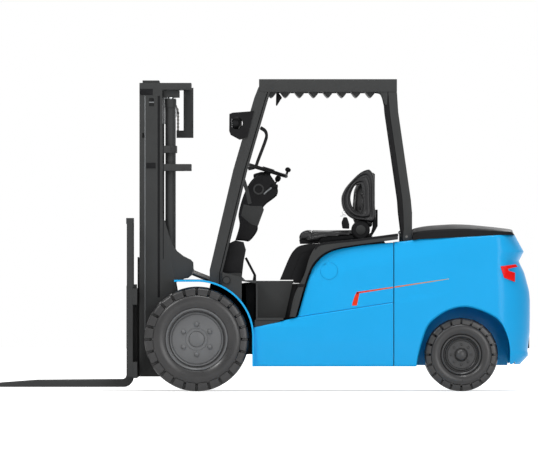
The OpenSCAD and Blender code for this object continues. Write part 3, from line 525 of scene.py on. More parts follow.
def tyre(radius, width, bead, root, lugs, gap, x, y, z):
    """A grid round the wheel. Its columns bunch at the walls of each cut, so that the walls
    stand steep, and the right half has its cuts half a pitch further on."""
    over, down = tyre_profiles(radius, width, bead, root)
    rows_r = np.stack([over[:, 0], down[:, 0]])
    rows_y = np.stack([over[:, 1], down[:, 1]])
    pitch = 2 * np.pi / lugs
    half = np.arcsin(gap / 2 / np.maximum(rows_r[0], root))
    cut_steps = np.array([-1.25, -1.0, 1.0, 1.25])
    depth_steps = np.array([0.0, 1.0, 1.0, 0.0])
    plain = np.linspace(0, 1, 7)[1:-1]

    def columns(start, side):
        """Angles and cut depths of half a pitch that begins at a cut: the cut, then the lug."""
        at_cut = start + cut_steps * half[:, None]
        lug_from = at_cut[:, -1:]
        lug_to = start + pitch / 2 - cut_steps[-1] * half[:, None]
        angles = np.hstack([at_cut, lug_from + plain * (lug_to - lug_from)])
        deep = np.concatenate([depth_steps * side, np.zeros(len(plain))])
        return angles, np.broadcast_to(deep, angles.shape)

    def half_tyre(first, second):
        """Angles, radii and distances across for one half of the tread, whose two cuts a
        pitch are there (1) or not (0)."""
        angle, deep = (np.hstack(pair) for pair in zip(columns(0, first), columns(pitch / 2, second)))
        turns = (np.arange(lugs) * pitch)[None, :, None]
        angle = (angle[:, None, :] + turns).reshape(len(angle), -1)
        deep = np.broadcast_to(deep[:, None, :], (len(deep), lugs, deep.shape[1])).reshape(len(deep), -1)
        r = rows_r[0][:, None] * (1 - deep) + rows_r[1][:, None] * deep
        across = rows_y[0][:, None] * (1 - deep) + rows_y[1][:, None] * deep
        return angle + np.pi / 2, r, across

    a_left, r_left, y_left = half_tyre(1.0, 0.0)
    a_right, r_right, y_right = half_tyre(0.0, 1.0)
    a = np.vstack([a_left, a_right[-2::-1]])
    r = np.vstack([r_left, r_right[-2::-1]])
    across = np.vstack([y_left, -y_right[-2::-1]])
    points = np.stack([x + r * np.cos(a), y + across, z + r * np.sin(a)], axis=2)
    return grid(points, around=True, along=True)


def wheel_place(side_name, axle):
    """Middle and size of a wheel in millimetres, read from its tyre's CAD node."""
    low, high = mm_box(f"{axle}_tyre_{side_name}")
    return (low + high) / 2, high - low


WHEELS = {"drive": dict(bead=190, root=298, lugs=24, gap=15), "steer": dict(bead=122, root=206, lugs=20, gap=12)}
for axle, form in WHEELS.items():
    for _, side_name in SIDE_NAMES:
        middle, size = wheel_place(side_name, axle)
        shape = tyre(size[0] / 2, size[1], *form.values(), *middle)
        piece(f"{axle}_tyre_{side_name}_tread", shape, RUBBER, f"{axle}_{side_name}",
              [f"{axle}_tyre_{side_name}"], angle=40)

# %% [markdown]
# The drive wheels have a flat pressed disc with six domed nuts and a flat hub cap. The steer
# wheels are smaller, with eight nuts round a dome. Rim and disc are one lathe profile, and
# each nut is a small lathe profile of its own, set round the hub by a loop.

# %% Rims
def dome(x, z, y, r, height, outward=-1, steps=24):
    """A low dome on a flat face: its radius falls off as a quarter ellipse."""
    a = np.linspace(0, np.pi / 2, 7)
    profile = np.column_stack([r * np.cos(a), y + outward * height * np.sin(a)])
    return lathe(np.vstack([[r, y - outward * 3], profile]), (x, z), steps)


def hex_nut(x, z, y, r, height, outward=-1):
    """A six-sided nut: a ring of six flats with a chamfer and a stud end."""
    profile = [(0, y - outward * 3), (r, y - outward * 3), (r, y + outward * 0.8 * height),
               (0.86 * r, y + outward * height), (0.55 * r, y + outward * height)]
    stud = [(0.5 * r, y + outward * height), (0.5 * r, y + outward * 1.5 * height),
            (0.4 * r, y + outward * 1.6 * height), (0, y + outward * 1.6 * height)]
    return join(lathe(profile + [(0, y + outward * height)], (x, z), 6), lathe([(0.5 * r, y)] + stud, (x, z), 18))


def rim_shape(profile, middle, face, side, count, circle, depth, r, height, make):
    """A lathe profile of (radius, depth behind the tyre's face), and the nuts that stand on it
    in a circle, made by the function make."""
    x, y, z = middle
    shapes = [lathe([(radius, y + face - side * d) for radius, d in profile], (x, z), 128)]
    for k in range(count):
        a = np.pi / 2 + 2 * np.pi * k / count
        shapes.append(make(x + circle * np.cos(a), z + circle * np.sin(a), y + face - side * depth, r, height, side))
    return join(*shapes)


DRIVE_RIM = [(0, 40), (47, 40), (50.5, 42), (51.5, 50), (53.5, 50), (55, 44.5), (74, 44), (75, 46), (77, 46),
             (78, 43.5), (160, 44.5), (167, 47), (169, 53), (173, 53), (175, 46), (181, 44), (186, 47), (187.5, 56),
             (190, 56), (192, 40), (195, 24), (199, 13), (204, 9), (209, 9.5), (212, 14), (212, 24), (196, 30),
             (188, 100), (188, 200), (0, 200)]
STEER_RIM = [(0, 2), (16, 4), (30, 10), (39, 19), (44, 30), (46, 44), (47, 50), (50, 50), (93, 50), (96, 54),
             (99, 54), (101, 47), (105, 45), (109, 48), (111, 56), (115, 56), (117, 42), (119, 26), (123, 15),
             (129, 11), (134, 13), (136, 18), (134, 26), (121, 40), (119, 90), (119, 158), (0, 158)]
RIMS = {"drive": (DRIVE_RIM, RIM, dict(count=6, circle=103, depth=44, r=18, height=15, make=dome)),
        "steer": (STEER_RIM, RIM_DARK, dict(count=8, circle=68, depth=50, r=9, height=8, make=hex_nut))}
for side, side_name in SIDE_NAMES:
    for axle, (profile, paint, nuts) in RIMS.items():
        middle, size = wheel_place(side_name, axle)
        piece(f"{axle}_rim_{side_name}_disc", rim_shape(profile, middle, side * 0.5 * size[1], side, **nuts), paint,
              f"{axle}_{side_name}", [f"{axle}_rim_{side_name}"], angle=30)

# %% [markdown]
# The blue body side is one long shape in three panels: the sill, the side door over the
# battery and the counterweight. They share one depth function, so that the light runs over
# them unbroken. It says how far the surface lies behind the widest plane at each (x, z): the
# side leans in above a soft line and towards the front, and tucks under at the bottom.

# %% Body side
HALF_W = abs(mm_box("sill_left")[0][1])
DOOR_PLANE = HALF_W - 5
PANEL_GAP_X = 1341
PORT, PORT_R = (900, 821), 60
BELLY_Z = 170
SILL_LINE = np.array([(391.3, 435), (581, 479), (681, 505), (1338, 605)])
PANEL_EDGE = np.array([(681, 505), (740, 715), (768, 800), (795, 856), (842, 910), (896, 946), (959, 969),
                       (1060, 987), (1154, 1000), (1338, 1016)])


def soft_ramp(t, width):
    """Zero below zero, t above width, and a parabola between, so that a crease is rounded."""
    t = np.asarray(t, float)
    return np.where(t < 0, 0, np.where(t < width, t * t / (2 * width), t - width / 2))


def side_depth(x, z):
    """How far the body side lies behind its widest plane, in millimetres."""
    soft_line = 790 + (x - 990) * 0.2
    lean = 0.14 * soft_ramp(z - soft_line, 40) * np.clip((2000 - x) / 400, 0, 1)
    front = 0.09 * soft_ramp(934 + (z - 561) * 0.34 - x, 30) * np.clip((z - 440) / 90, 0, 1)
    tuck = 0.05 * soft_ramp(343 - z, 20)
    return lean + front + tuck


def roll(distance, width, depth):
    """The rounding of a panel's edge: a quarter ellipse, width along the panel and depth
    into the truck, as a function of the distance from the edge."""
    t = np.clip(1 - distance / width, 0, 1)
    return depth * (1 - np.sqrt(np.maximum(1 - t * t, 0)))


def edge_steps(count, share, fine):
    """Numbers from 0 to 1 with fine extra ones within share of both ends."""
    end = share * (1 - np.cos(np.linspace(0, np.pi / 2, fine)))
    return np.unique(np.concatenate([end, np.linspace(share, 1 - share, count), 1 - end]))


def side_skin(x, low, high, plane, side, bottom_roll, top_roll):
    """Front face of a panel: rows of points between its lower and its upper line, behind the
    plane by side_depth and by the rolls of its two edges."""
    v = edge_steps(28, 0.12, 9)[:, None]
    z = low + v * (high - low)
    x = x + 0 * z
    back = side_depth(x, z) + roll(z - low, *bottom_roll) + roll(high - z, *top_roll)
    return np.stack([x, side * (plane - back), z], axis=2)


def around_edge(points):
    """The outer points of a grid in order: first row, last column, last row, first column."""
    return np.concatenate([points[0], points[1:-1, -1], points[-1, ::-1], points[-2:0:-1, 0]])


def closed(front, back):
    """Two grids of the same size as the faces of one closed form, with a strip between."""
    rim = np.stack([around_edge(front), around_edge(back)])
    return join(grid(front), grid(back[::-1]), grid(rim, around=True))


def thick(front, depth):
    """A closed panel: its front face, and the same face depth behind it."""
    return closed(front, front - [0, 1, 0] * np.sign(front) * depth)


def side_door(side):
    """The door over the battery: it rises from the sill's line to the curve of its edge."""
    x = np.unique(np.concatenate([np.linspace(684, 860, 34), np.linspace(860, 1338, 50)]))
    low = np.interp(x, *SILL_LINE.T) + 1.5
    edge = curve(PANEL_EDGE, 200)
    high = np.maximum(np.interp(x - 4, *edge.T) - 3, low + 0.1)
    return thick(side_skin(x, low, high, DOOR_PLANE, side, (5, 4), (55, 9)), 22)


def sill_panel(side):
    """The long panel from the belly up to the sill's line."""
    x = np.linspace(391.3, 1338, 90)
    low = np.full_like(x, BELLY_Z)
    high = np.interp(x, *SILL_LINE.T)
    return thick(side_skin(x, low, high, HALF_W, side, (14, 10), (11, 8)), 24)


def skin_disc(centre, radius, plane, side, depth, fall):
    """A round cover that follows the body side: rings of points round the centre, the outer
    rings rolled back by a quarter ellipse, and one last ring depth behind the edge."""
    r = np.concatenate([[0.01], np.linspace(0.2, 0.9, 6), [0.94, 0.97, 0.985, 1.0]])[:, None] * radius
    a = np.linspace(0, 2 * np.pi, 72, endpoint=False)
    x, z = centre[0] + r * np.cos(a), centre[1] + r * np.sin(a)
    front = np.stack([x, side * (plane - side_depth(x, z) - roll(radius - r, *fall)), z], axis=2)
    back = front[-1:] - [0, side * depth, 0]
    return grid(np.concatenate([front, back]), around=True)


for side, side_name in SIDE_NAMES:
    door = piece(f"side_door_{side_name}", side_door(side), BLUE, "chassis",
                 [f"side_panel_{side_name}"])
    cut(door, drum(PORT_R, side * (DOOR_PLANE - 24), side * HALF_W, PORT, 72))
    piece(f"door_cover_{side_name}", skin_disc(PORT, PORT_R - 1.6, DOOR_PLANE, side, 8, (2, 1.2)), BLUE,
          "chassis", outward=False)
    piece(f"sill_panel_{side_name}", sill_panel(side), BLUE, "chassis", [f"sill_{side_name}"])

# %% [markdown]
# Each fender is a thin strip bent over the drive tyre, straight in front and behind.

# %% Fenders
FENDER_R, FENDER_T, FENDER_C = 388, 13, np.array([3, 371])


def fender_outline():
    """A strip of even thickness: straight in front, a quarter circle, and straight behind."""
    a = np.linspace(0, np.pi / 2, 49)[:, None]
    sweep = np.hstack([np.sin(a), np.cos(a)])
    outer, inner = FENDER_C + FENDER_R * sweep, FENDER_C + (FENDER_R - FENDER_T) * sweep
    front = FENDER_C[1] + FENDER_R
    return np.vstack([[(-154, front)], outer, [(FENDER_C[0] + FENDER_R, BELLY_Z)],
                      [(FENDER_C[0] + FENDER_R - FENDER_T, BELLY_Z)], inner[::-1], [(-154, front - FENDER_T)]])


FENDER_IN, FENDER_OUT = 385, mm_box("fenders")[1][1]
piece("fender_strips", both(plate(fender_outline(), FENDER_IN, FENDER_OUT, edge=2.5)), BLUE, "chassis",
      ["fenders"], angle=30)

# %% [markdown]
# The counterweight is a casting of well over a tonne. Seen from above it has wide round
# corners, and seen from the side its rear bulges, with a ledge above the lamps. A grid can
# hold all of it: each column is a place on the plan, each row a share of the height there, and
# the rear part of every row is stretched to the rear profile. The arches are cut afterwards,
# and walls close their inner side. The tow pin's pocket is not cut: a black plate on the rear
# face is painted shade in its place. Two ears carry the hood's hinge.

# %% Counterweight
REAR = 2270
CORNER = 230
CW_HALF = HALF_W + 8
WEIGHT_SET = 3
REAR_PROFILE = np.array([(170, 2196), (184, 2203), (246, 2260), (273, 2254), (400, 2268), (510, 2270), (622, 2270),
                         (686, 2264), (806, 2232), (880, 2196), (890, 2197), (950, 2228), (1064, 2166), (1100, 2160)])
CW_TOP = np.array([(1344, 1016), (1424, 1023), (1519, 1037), (1656, 1043), (1798, 1050), (2063, 1064), (2300, 1066)])
CW_LOW = np.array([(1344, 170), (1500, 170), (2050, 184), (2300, 184)])


def weight_depth(x, z):
    """The door's surface carried on over the casting, with the shallow ledge that runs on from
    the door's lower edge and fades out over the arch."""
    ledge_z = 605 + (x - 1342) * 0.2
    ledge = 5 * np.clip((z - ledge_z) / 5 + 0.5, 0, 1) * np.clip((1764 - x) / 300, 0, 1)
    return side_depth(x, z) + ledge


def counterweight():
    """Columns go round the plan from front left over the rear to front right. Rows rise from
    the belly to the top, and first and last rows run to the middle line and close the body."""
    a = np.linspace(0, np.pi / 2, 19)[1:]
    straight = np.linspace(PANEL_GAP_X + 3, REAR - CORNER, 60)
    rear_y = np.linspace(-(CW_HALF - CORNER), CW_HALF - CORNER, 16)[1:-1]
    plan_x = np.concatenate([straight, REAR - CORNER + CORNER * np.sin(a), np.full(len(rear_y), REAR)])
    plan_y = np.concatenate([np.full(len(straight), -CW_HALF), -(CW_HALF - CORNER) - CORNER * np.cos(a), rear_y])
    plan = np.column_stack([plan_x, plan_y])
    left = plan[:len(straight) + len(a)]
    px, py = np.vstack([plan, left[::-1] * [1, -1]]).T[:, None]
    low, high = np.interp(px, *CW_LOW.T), np.interp(px, *CW_TOP.T)
    kinks = (np.array([178, 184, 246, 260, 274, 605, 622, 686, 876, 882, 888, 950, 1052, 1060]) - BELLY_Z) / 895
    v = np.unique(np.concatenate([np.linspace(0, 1, 46), kinks, [0.006, 0.988]]))[:, None]
    z = low + v * (high - low)
    reach = np.interp(z, *REAR_PROFILE.T)
    start = REAR - CORNER
    x = np.where(px > start, start + (px - start) * (reach - start) / (REAR - start), px + 0 * z)
    back = weight_depth(px, z) * (px <= start) + roll(z - low, 14, 10) + roll(high - z, 20, 9) + WEIGHT_SET
    y = np.sign(py) * np.maximum(np.abs(py) - back * (np.abs(py) / CW_HALF), 0)
    body = np.stack([x, y, z], axis=2)
    bottom, top = body[:1] * [1, 0, 1], body[-1:] * [1, 0, 1]
    return grid(np.concatenate([bottom, body, top]), around=True)


ARCH = curve([(2131, 60), (2131, 180), (2129, 309), (2100, 411), (2043, 493), (1934, 550), (1828, 575), (1729, 558),
              (1639, 509), (1573, 443), (1523, 303), (1497, 180), (1492, 60)], 90)


def arch_cutter():
    """The wheel well right through the casting, as one closed form. Its outline changes from
    plane to plane by a distance g outwards, P + g (P - C) / |P - C|: none in the skin on both
    sides, more at a flared lip outside, and most between the skins."""
    outer = [(30, CW_HALF + 20), (8, CW_HALF - 6), (1, CW_HALF - 16), (0, CW_HALF - 60), (35, CW_HALF - 65)]
    levels = np.array([(grow, -y) for grow, y in outer] + outer[::-1])
    grow, y = levels[:, :1], levels[:, 1:]
    away = ARCH - [REAR_X, 248]
    away = away / np.linalg.norm(away, axis=1)[:, None]
    x, z = ARCH[:, 0] + grow * away[:, 0], ARCH[:, 1] + grow * away[:, 1]
    z[:, [0, -1]] = 60
    return capped(np.stack([x, y + 0 * x, z], axis=2))


weight = piece("counterweight_casting", counterweight(), BLUE, "chassis", ["counterweight"])
cut(weight, arch_cutter())
print(f"counterweight: {len(weight.data.polygons)} faces after the cuts")
well_wall = plate([(1450, 175), (2120, 175), (2140, 640), (1450, 640)], 110, 117, edge=1)
# A black block flush with the rear face: painted shade where the tow pin's pocket is.
piece("tow_pocket", block(REAR - 40, REAR + 0.5, -60, 60, 290, 370, 5), BLACK, "chassis")
piece("wheel_well_walls", both(well_wall), BLUE, "chassis")
HOOD_HINGE = (1392, 1080)
ear = join(block(HOOD_HINGE[0] - 8, HOOD_HINGE[0] + 8, 331, 349, 1010, 1070, 1),
           drum(14, 331, 349, HOOD_HINGE, 48, bore=8.3))
piece("hood_hinge_ears", both(ear), DARK, "chassis")

# %% [markdown]
# A painted stripe starts with a short slanted stroke on the door and runs up to the rear as a
# line that gets thinner. It lies 0.5 mm proud of the paint, and its colour goes from red over
# orange to gold along the truck.

# %% Stripe
STRIPE_SPAN = (1050, 1720)


def stripe_paint():
    """A paint whose colour follows the length of the truck."""
    made = bpy.data.materials.new("stripe_paint")
    made.use_nodes = True
    tree = made.node_tree
    shader = tree.nodes["Principled BSDF"]
    shader.inputs["Specular IOR Level"].default_value = 0.05
    shader.inputs["Coat Weight"].default_value = 0.1
    shader.inputs["Roughness"].default_value = 0.35
    place = new_node(tree, "ShaderNodeTexCoord")
    split = new_node(tree, "ShaderNodeSeparateXYZ")
    reach = map_range(tree, *(to_metres([x, 0, 0])[0] for x in STRIPE_SPAN))
    ramp = new_node(tree, "ShaderNodeValToRGB")
    colours = ((0.0, (0.80, 0.035, 0.010)), (0.16, (0.76, 0.055, 0.012)), (0.55, (0.68, 0.20, 0.02)),
               (1.0, (0.55, 0.36, 0.03)))
    ramp.color_ramp.elements.new(0.3)
    ramp.color_ramp.elements.new(0.6)
    for element, (at, colour) in zip(ramp.color_ramp.elements, colours):
        element.position = at
        element.color = (*colour, 1)
    tree.links.new(place.outputs["Object"], split.inputs["Vector"])
    tree.links.new(split.outputs["X"], reach.inputs["Value"])
    tree.links.new(reach.outputs["Result"], ramp.inputs["Fac"])
    tree.links.new(ramp.outputs["Color"], shader.inputs["Base Color"])
    return made


STRIPE = stripe_paint()
PROUD = 0.5


def strip(low, high, plane, side, depth=side_depth, rows=4):
    """A painted patch between two lines of (x, z) points, just proud of the body side."""
    low, high = np.asarray(low, float), np.asarray(high, float)
    t = np.linspace(0, 1, rows)[:, None, None]
    xz = low + t * (high - low)
    x, z = xz[..., 0], xz[..., 1]
    return grid(np.stack([x, side * (plane - depth(x, z) + PROUD), z], axis=2))


def stripe_line(x0, x1, count, *place):
    """The thin line between two lengths: it climbs evenly and gets thinner towards the rear."""
    x = np.linspace(x0, x1, count)
    middle, half = 671 + (x - 1091) * 0.152, np.interp(x, (1091, 1716), (6.0, 1.8))
    return strip(np.column_stack([x, middle - half]), np.column_stack([x, middle + half]), *place)


for side, side_name in SIDE_NAMES:
    t = np.linspace(0, 1, 24)[:, None]
    left_edge = (1 - t) ** 2 * [1056, 584] + 2 * t * (1 - t) * [1076, 676] + t ** 2 * [1098, 677]
    right_edge = (1 - t) * [1090, 584] + t * [1106, 662]
    hook = strip(left_edge, right_edge, DOOR_PLANE, side, rows=6)
    piece(f"stripe_on_door_{side_name}", join(stripe_line(1086, 1336, 60, DOOR_PLANE, side), hook), STRIPE, "chassis",
          outward=False)
    piece(f"stripe_on_weight_{side_name}", stripe_line(1347, 1716, 90, CW_HALF - WEIGHT_SET, side, weight_depth),
          STRIPE, "chassis", outward=False)

# %% [markdown]
# The tail lamps lie on the rounded rear corners. Each is an outline with a notch in its rear
# edge, first made as a block of fine columns whose front and back follow the corner's circle,
# and then notched.

# %% Tail lamps
LAMP_UP = np.array([(2067, 851), (2170, 865), (2184, 850)])
LAMP_DOWN = np.array([(2067, 848), (2091, 773), (2164, 745), (2184, 745)])
LAMP_NOTCH = [(2116, 834), (2124, 820), (2166, 808), (2165, 730), (2196, 730), (2196, 852), (2184, 848)]


def corner_y(x, radius):
    """Distance from the middle plane of a circle round the corner's axis, at a length x."""
    return CW_HALF - CORNER + np.sqrt(np.maximum(radius ** 2 - np.maximum(x - REAR + CORNER, 0) ** 2, 0))


for side, side_name in SIDE_NAMES:
    x = np.linspace(2067, 2184, 60)
    v = edge_steps(8, 0.08, 5)[:, None]
    low, high = np.interp(x, *LAMP_DOWN.T), np.interp(x, *LAMP_UP.T)
    z = low + v * (high - low)
    x = x + 0 * z
    rise = roll(z - low, 10, 4) + roll(high - z, 10, 4) + roll(x - 2066, 10, 3)
    front = np.stack([x, side * (corner_y(x, CORNER + 5) - rise), z], axis=2)
    back = np.stack([x, side * corner_y(x, CORNER - 6), z], axis=2)
    tail_lamp = piece(f"tail_lamp_{side_name}", closed(front, back), RED, "chassis",
                      ["tail_lamps"] if side < 0 else [])
    cut(tail_lamp, plate(LAMP_NOTCH, *sorted((side * 300, side * 640)), edge=0.3, steps=1))

# %% [markdown]
# The hood is a folded shell that carries the seat. Its black skirt spans the middle between two
# grey side bands, and a thin lip closes the gap over each door. Below it, walls and a sill on
# both sides close the view past the step into the body.

# %% Battery hood and the walls beside the step
HOOD_TOP = [(842, 1008), (950, 1024), (1076, 1036), (1220, 1054), (1369, 1074)]
HOOD_UNDER = [(1369, 1034), (1154, 1006), (1060, 993), (959, 976), (892, 953)]
SIDE_LINE = curve([(631, 506.3), (667, 660), (732, 794), (764, 903), (802, 973)] + HOOD_TOP, 90)
SIDE_UNDER = curve(HOOD_UNDER + [(836, 917), (788, 862), (760, 802), (732, 716), (674, 506.3)], 90)
SKIRT = curve([(567, 758), (631, 910), (669, 966), (701, 989), (760, 1002)] + HOOD_TOP, 90)
SKIRT_UNDER = curve(HOOD_UNDER + [(740, 940), (700, 905), (640, 758)], 90)
piece("hood_bands", both(plate(np.vstack([SIDE_LINE, SIDE_UNDER]), 418, HALF_W - 1, edge=4)), DARK, "hood",
      ["battery_hood"])
top_line = SIDE_LINE[SIDE_LINE[:, 0] > 800]
band_edge = plate(np.vstack([top_line, (top_line - [-3, 15])[::-1]]), HALF_W - 6, HALF_W + 0.5, edge=0.5)
piece("hood_band_edges", both(band_edge), BLACK, "hood")
lip_line = SIDE_UNDER[(SIDE_UNDER[:, 0] > 722) & (SIDE_UNDER[:, 0] < 1292)]
lip = plate(np.vstack([lip_line + [-4, 4], (lip_line + [14, -20])[::-1]]), 520, 528, edge=0.5)
piece("hood_lips", both(lip), BLACK, "hood")
cheek_line = np.vstack([SKIRT[SKIRT[:, 0] < 800],
                        SIDE_LINE[(SIDE_LINE[:, 1] > 758) & (SIDE_LINE[:, 0] < 800)][::-1],
                        [(716, 758), (718, 736), (664, 736), (656, 758)]])
plinth = plate([(704, 1003), (698, 1030), (720, 1052), (860, 1056), (1100, 1078), (1180, 1074), (1200, 1053),
                (1076, 1037), (950, 1025), (842, 1009), (760, 1003)], -216, 216, edge=5)
piece("hood_skirt", join(plate(np.vstack([SKIRT, SKIRT_UNDER]), -417.7, 417.7, edge=4),
                         both(plate(cheek_line, 404, 417, edge=1)), plinth), BLACK, "hood")
for side, side_name in SIDE_NAMES:
    skin = sorted((side * (HALF_W - 2), side * (HALF_W + 2)))
    foot = plate(rounded([(634, 508), (671, 508), (727, 708), (690, 708)], 3), *skin, edge=1.5)
    piece(f"hood_foot_{side_name}", foot, DARK, "hood")
    piece(f"hood_catch_{side_name}", block(684, 736, *skin, 712, 730, 1.5), BLACK, "hood")
step_wall = plate([(590, 486), (790, 486), (790, 730), (590, 730)], 386, 396, edge=1)
liner = np.vstack([sweep_line(FENDER_C, FENDER_R - 2, 76, 0), [(389, 452), (412, 452), (412, 738), (330, 738)],
                   sweep_line((0, FRONT_Z), 352, -8, 76)])
piece("step_side_walls", join(both(step_wall), both(plate(liner, 376.5, 380, edge=0.5))), BLACK, "chassis")
sill_step = plate([(395, 486), (567, 486), (567, 474), (395, 436)], HALF_W - 60, HALF_W - 12, edge=2)
piece("step_sills", both(sill_step), DARK, "chassis")

# %% [markdown]
# The cover on top of the casting is hipped: its sides rise steeply from the plan's edge, then
# turn in and run up to the middle line. One grid holds it. Every ring follows the plan, moved
# inwards by a share of the width, and takes its height from the side view's two lines.

# %% Rear cover
COVER_TOP = curve([(1470, 1090), (1478, 1106), (1560, 1124), (1680, 1134), (1770, 1137), (1900, 1130), (2133, 1104),
                   (2150, 1085), (2162, 1067)], 120)
COVER_BASE = CW_TOP + [0, 0.3]
COVER_END = 2162


def rear_cover():
    """Rings of (share of the width inwards, share of the height): the first is the rim."""
    a = np.linspace(0, np.pi / 2, 17)[1:]
    half, corner = CW_HALF - 12, CORNER - 12
    straight = np.linspace(1470, REAR - CORNER, 36)
    px = np.minimum(np.concatenate([straight, REAR - CORNER + corner * np.sin(a)]), COVER_END)
    py = np.concatenate([np.full(len(straight), half), half - corner * (1 - np.cos(a))])
    px, py = np.concatenate([px, px[::-1]]), np.concatenate([-py, py[::-1]])
    rings = [(0.0, 0.0), (0.004, 0.25), (0.012, 0.52), (0.035, 0.66), (0.10, 0.78), (0.22, 0.91), (0.34, 0.98),
             (0.42, 1.0), (1.0, 1.0)]
    rows = []
    for share, rise in rings:
        x = px - share * 60 * np.clip((px - 1900) / 240, 0, 1)
        low, high = np.interp(x, *COVER_BASE.T), np.interp(x, *COVER_TOP.T)
        rows.append(np.column_stack([x, py * (1 - share), low + rise * np.maximum(high - low, 1)]))
    return grid(np.stack([rows[0] * [1, 0, 1]] + rows), around=True)


piece("rear_cover_moulding", rear_cover(), BLACK, "chassis", ["rear_cover"], angle=24)

# %% [markdown]
# The overhead guard is sheet steel: two side rails with square corners, a header at each end
# and eight folded slats, each a rounded V with both legs up between the rails. The pillars
# have a groove near one edge, where a strip is welded on. A black strip sunk in each groove
# is painted shade there.

# %% Overhead guard and pillars
GUARD_TOP, RAIL_LOW, GUARD_HALF, RAIL_T = 2125, 2037, 520, 50
RAIL_X0, RAIL_X1 = 424, 1363
SLAT_X0, SLAT_PITCH, SLATS = 506.4, 96.6, 8
INNER = GUARD_HALF - RAIL_T
rail = plate(rounded([(RAIL_X0, 2072), (RAIL_X0, GUARD_TOP), (RAIL_X1, GUARD_TOP), (RAIL_X1, RAIL_LOW),
                      (RAIL_X0 + 6, RAIL_LOW)], 4), INNER, GUARD_HALF, edge=3)
front_header = plate(rounded([(RAIL_X0, 2072), (RAIL_X0, GUARD_TOP), (RAIL_X0 + 34, GUARD_TOP),
                              (RAIL_X0 + 34, RAIL_LOW), (RAIL_X0 + 6, RAIL_LOW)], 4), -INNER, INNER, edge=1)
rear_header = block(RAIL_X1 - 70, RAIL_X1, -INNER, INNER, RAIL_LOW, GUARD_TOP, 4)
SLAT_OUT = curve([(-40, 34), (-36, 4), (-14, -26), (0, -35), (14, -26), (36, 4), (40, 34)], 31)
SLAT_IN = curve([(33, 34), (29, 6), (10, -19), (0, -26), (-10, -19), (-29, 6), (-33, 34)], 31)
slats = []
for slat_x in SLAT_X0 + SLAT_PITCH * np.arange(SLATS):
    middle = [slat_x, RAIL_LOW]
    slats += [plate(np.vstack([SLAT_OUT, SLAT_IN]) + middle, -INNER, INNER, edge=0.8, steps=1),
              both(plate(SLAT_OUT + middle, INNER - 6, INNER - 0.5, edge=0.8))]
corner_line = curve([(1228, 2037), (1252, 2030), (1266, 2006), (1280, 1950)], 16)
corners = both(plate(np.vstack([corner_line, [(1296, 1950), (1300, 2037)]]), INNER, GUARD_HALF - 3, edge=1))
piece("guard_roof_sheet", join(both(rail), front_header, rear_header, corners, *slats), DARK, "chassis",
      ["guard_roof"], angle=35)

STRIP, GROOVE, SUNK = 14, 6, 8
NOSE = np.array([(88, 700), (88, 826), (248, 1506), (391, 1996), (420, 2070), (424, 2073), (430, 2036.7)])
BACK_LINE = np.array([(174.7, 700), (174.7, 811), (343, 1506), (486, 1996), (500, 2036.7)])
face_line = np.vstack([NOSE, (BACK_LINE - [STRIP + GROOVE, 0])[::-1]])
strip_line = np.vstack([BACK_LINE - [STRIP, 0], BACK_LINE[::-1]])
sunk_line = np.vstack([BACK_LINE - [STRIP + GROOVE + 2, 0], (BACK_LINE - [STRIP - 2, 0])[::-1]])
front_pillar = join(plate(face_line, INNER, GUARD_HALF, edge=2.5), plate(strip_line, INNER, GUARD_HALF, edge=2))
front_pillars = piece("front_pillar_sheet", both(front_pillar), DARK, "chassis", ["front_pillars"])
# Black strips sunk in the grooves of the front pillars: painted shade in the grooves.
groove_shade_strips = piece("front_pillar_groove", both(plate(sunk_line, INNER, GUARD_HALF - SUNK, edge=0.5)), BLACK,
                    "chassis")
for thing in (front_pillars, groove_shade_strips):
    cut(thing, drum(FENDER_R + 0.3, -700, 700, FENDER_C, 128))

REAR_NOSE = np.array([(1376, 1215), (1370, 1302), (1284, 1900), (1273, 2036.7)])
REAR_BACK = np.array([(1363, 2036.7), (1372, 1900), (1458, 1302), (1466, 1215), (1466, 1030), (1424, 1023.3),
                      (1400, 1021.3)])
REAR_STRIP = 30
rear_face = np.vstack([REAR_BACK, [(1410, 1110)], REAR_NOSE + [REAR_STRIP, 0]])
rear_sunk = np.vstack([[(1440, 1100), (1440, 1030), (1424, 1023.3), (1400, 1021.3)], REAR_NOSE,
                       (REAR_NOSE + [REAR_STRIP + 4, 0])[::-1]])
piece("rear_pillar_sheet", both(plate(rear_face, INNER, GUARD_HALF, edge=2.5)), DARK, "chassis",
      ["rear_pillars"])
# A black strip sunk in the groove and the notch at the foot of each rear pillar: painted shade there.
piece("rear_pillar_strip", both(plate(rear_sunk, INNER, GUARD_HALF - SUNK, edge=1.5)), BLACK, "chassis")
bolt_head = join(drum(8, 519, 521.5, (1428, 1053), 24), hex_nut(1428, 1053, 521, 5, 4, outward=1))
piece("pillar_foot_bolts", both(bolt_head), CHAIN, "chassis")

# %% [markdown]
# In front of the operator stands the console under the steering column. Its side has two grey
# panels and a ring at the knee, a stalk with a switch reaches out to the left, and black cheeks
# cover the cowl below. The head lamps are cups on the pillars with a bowed lens each.

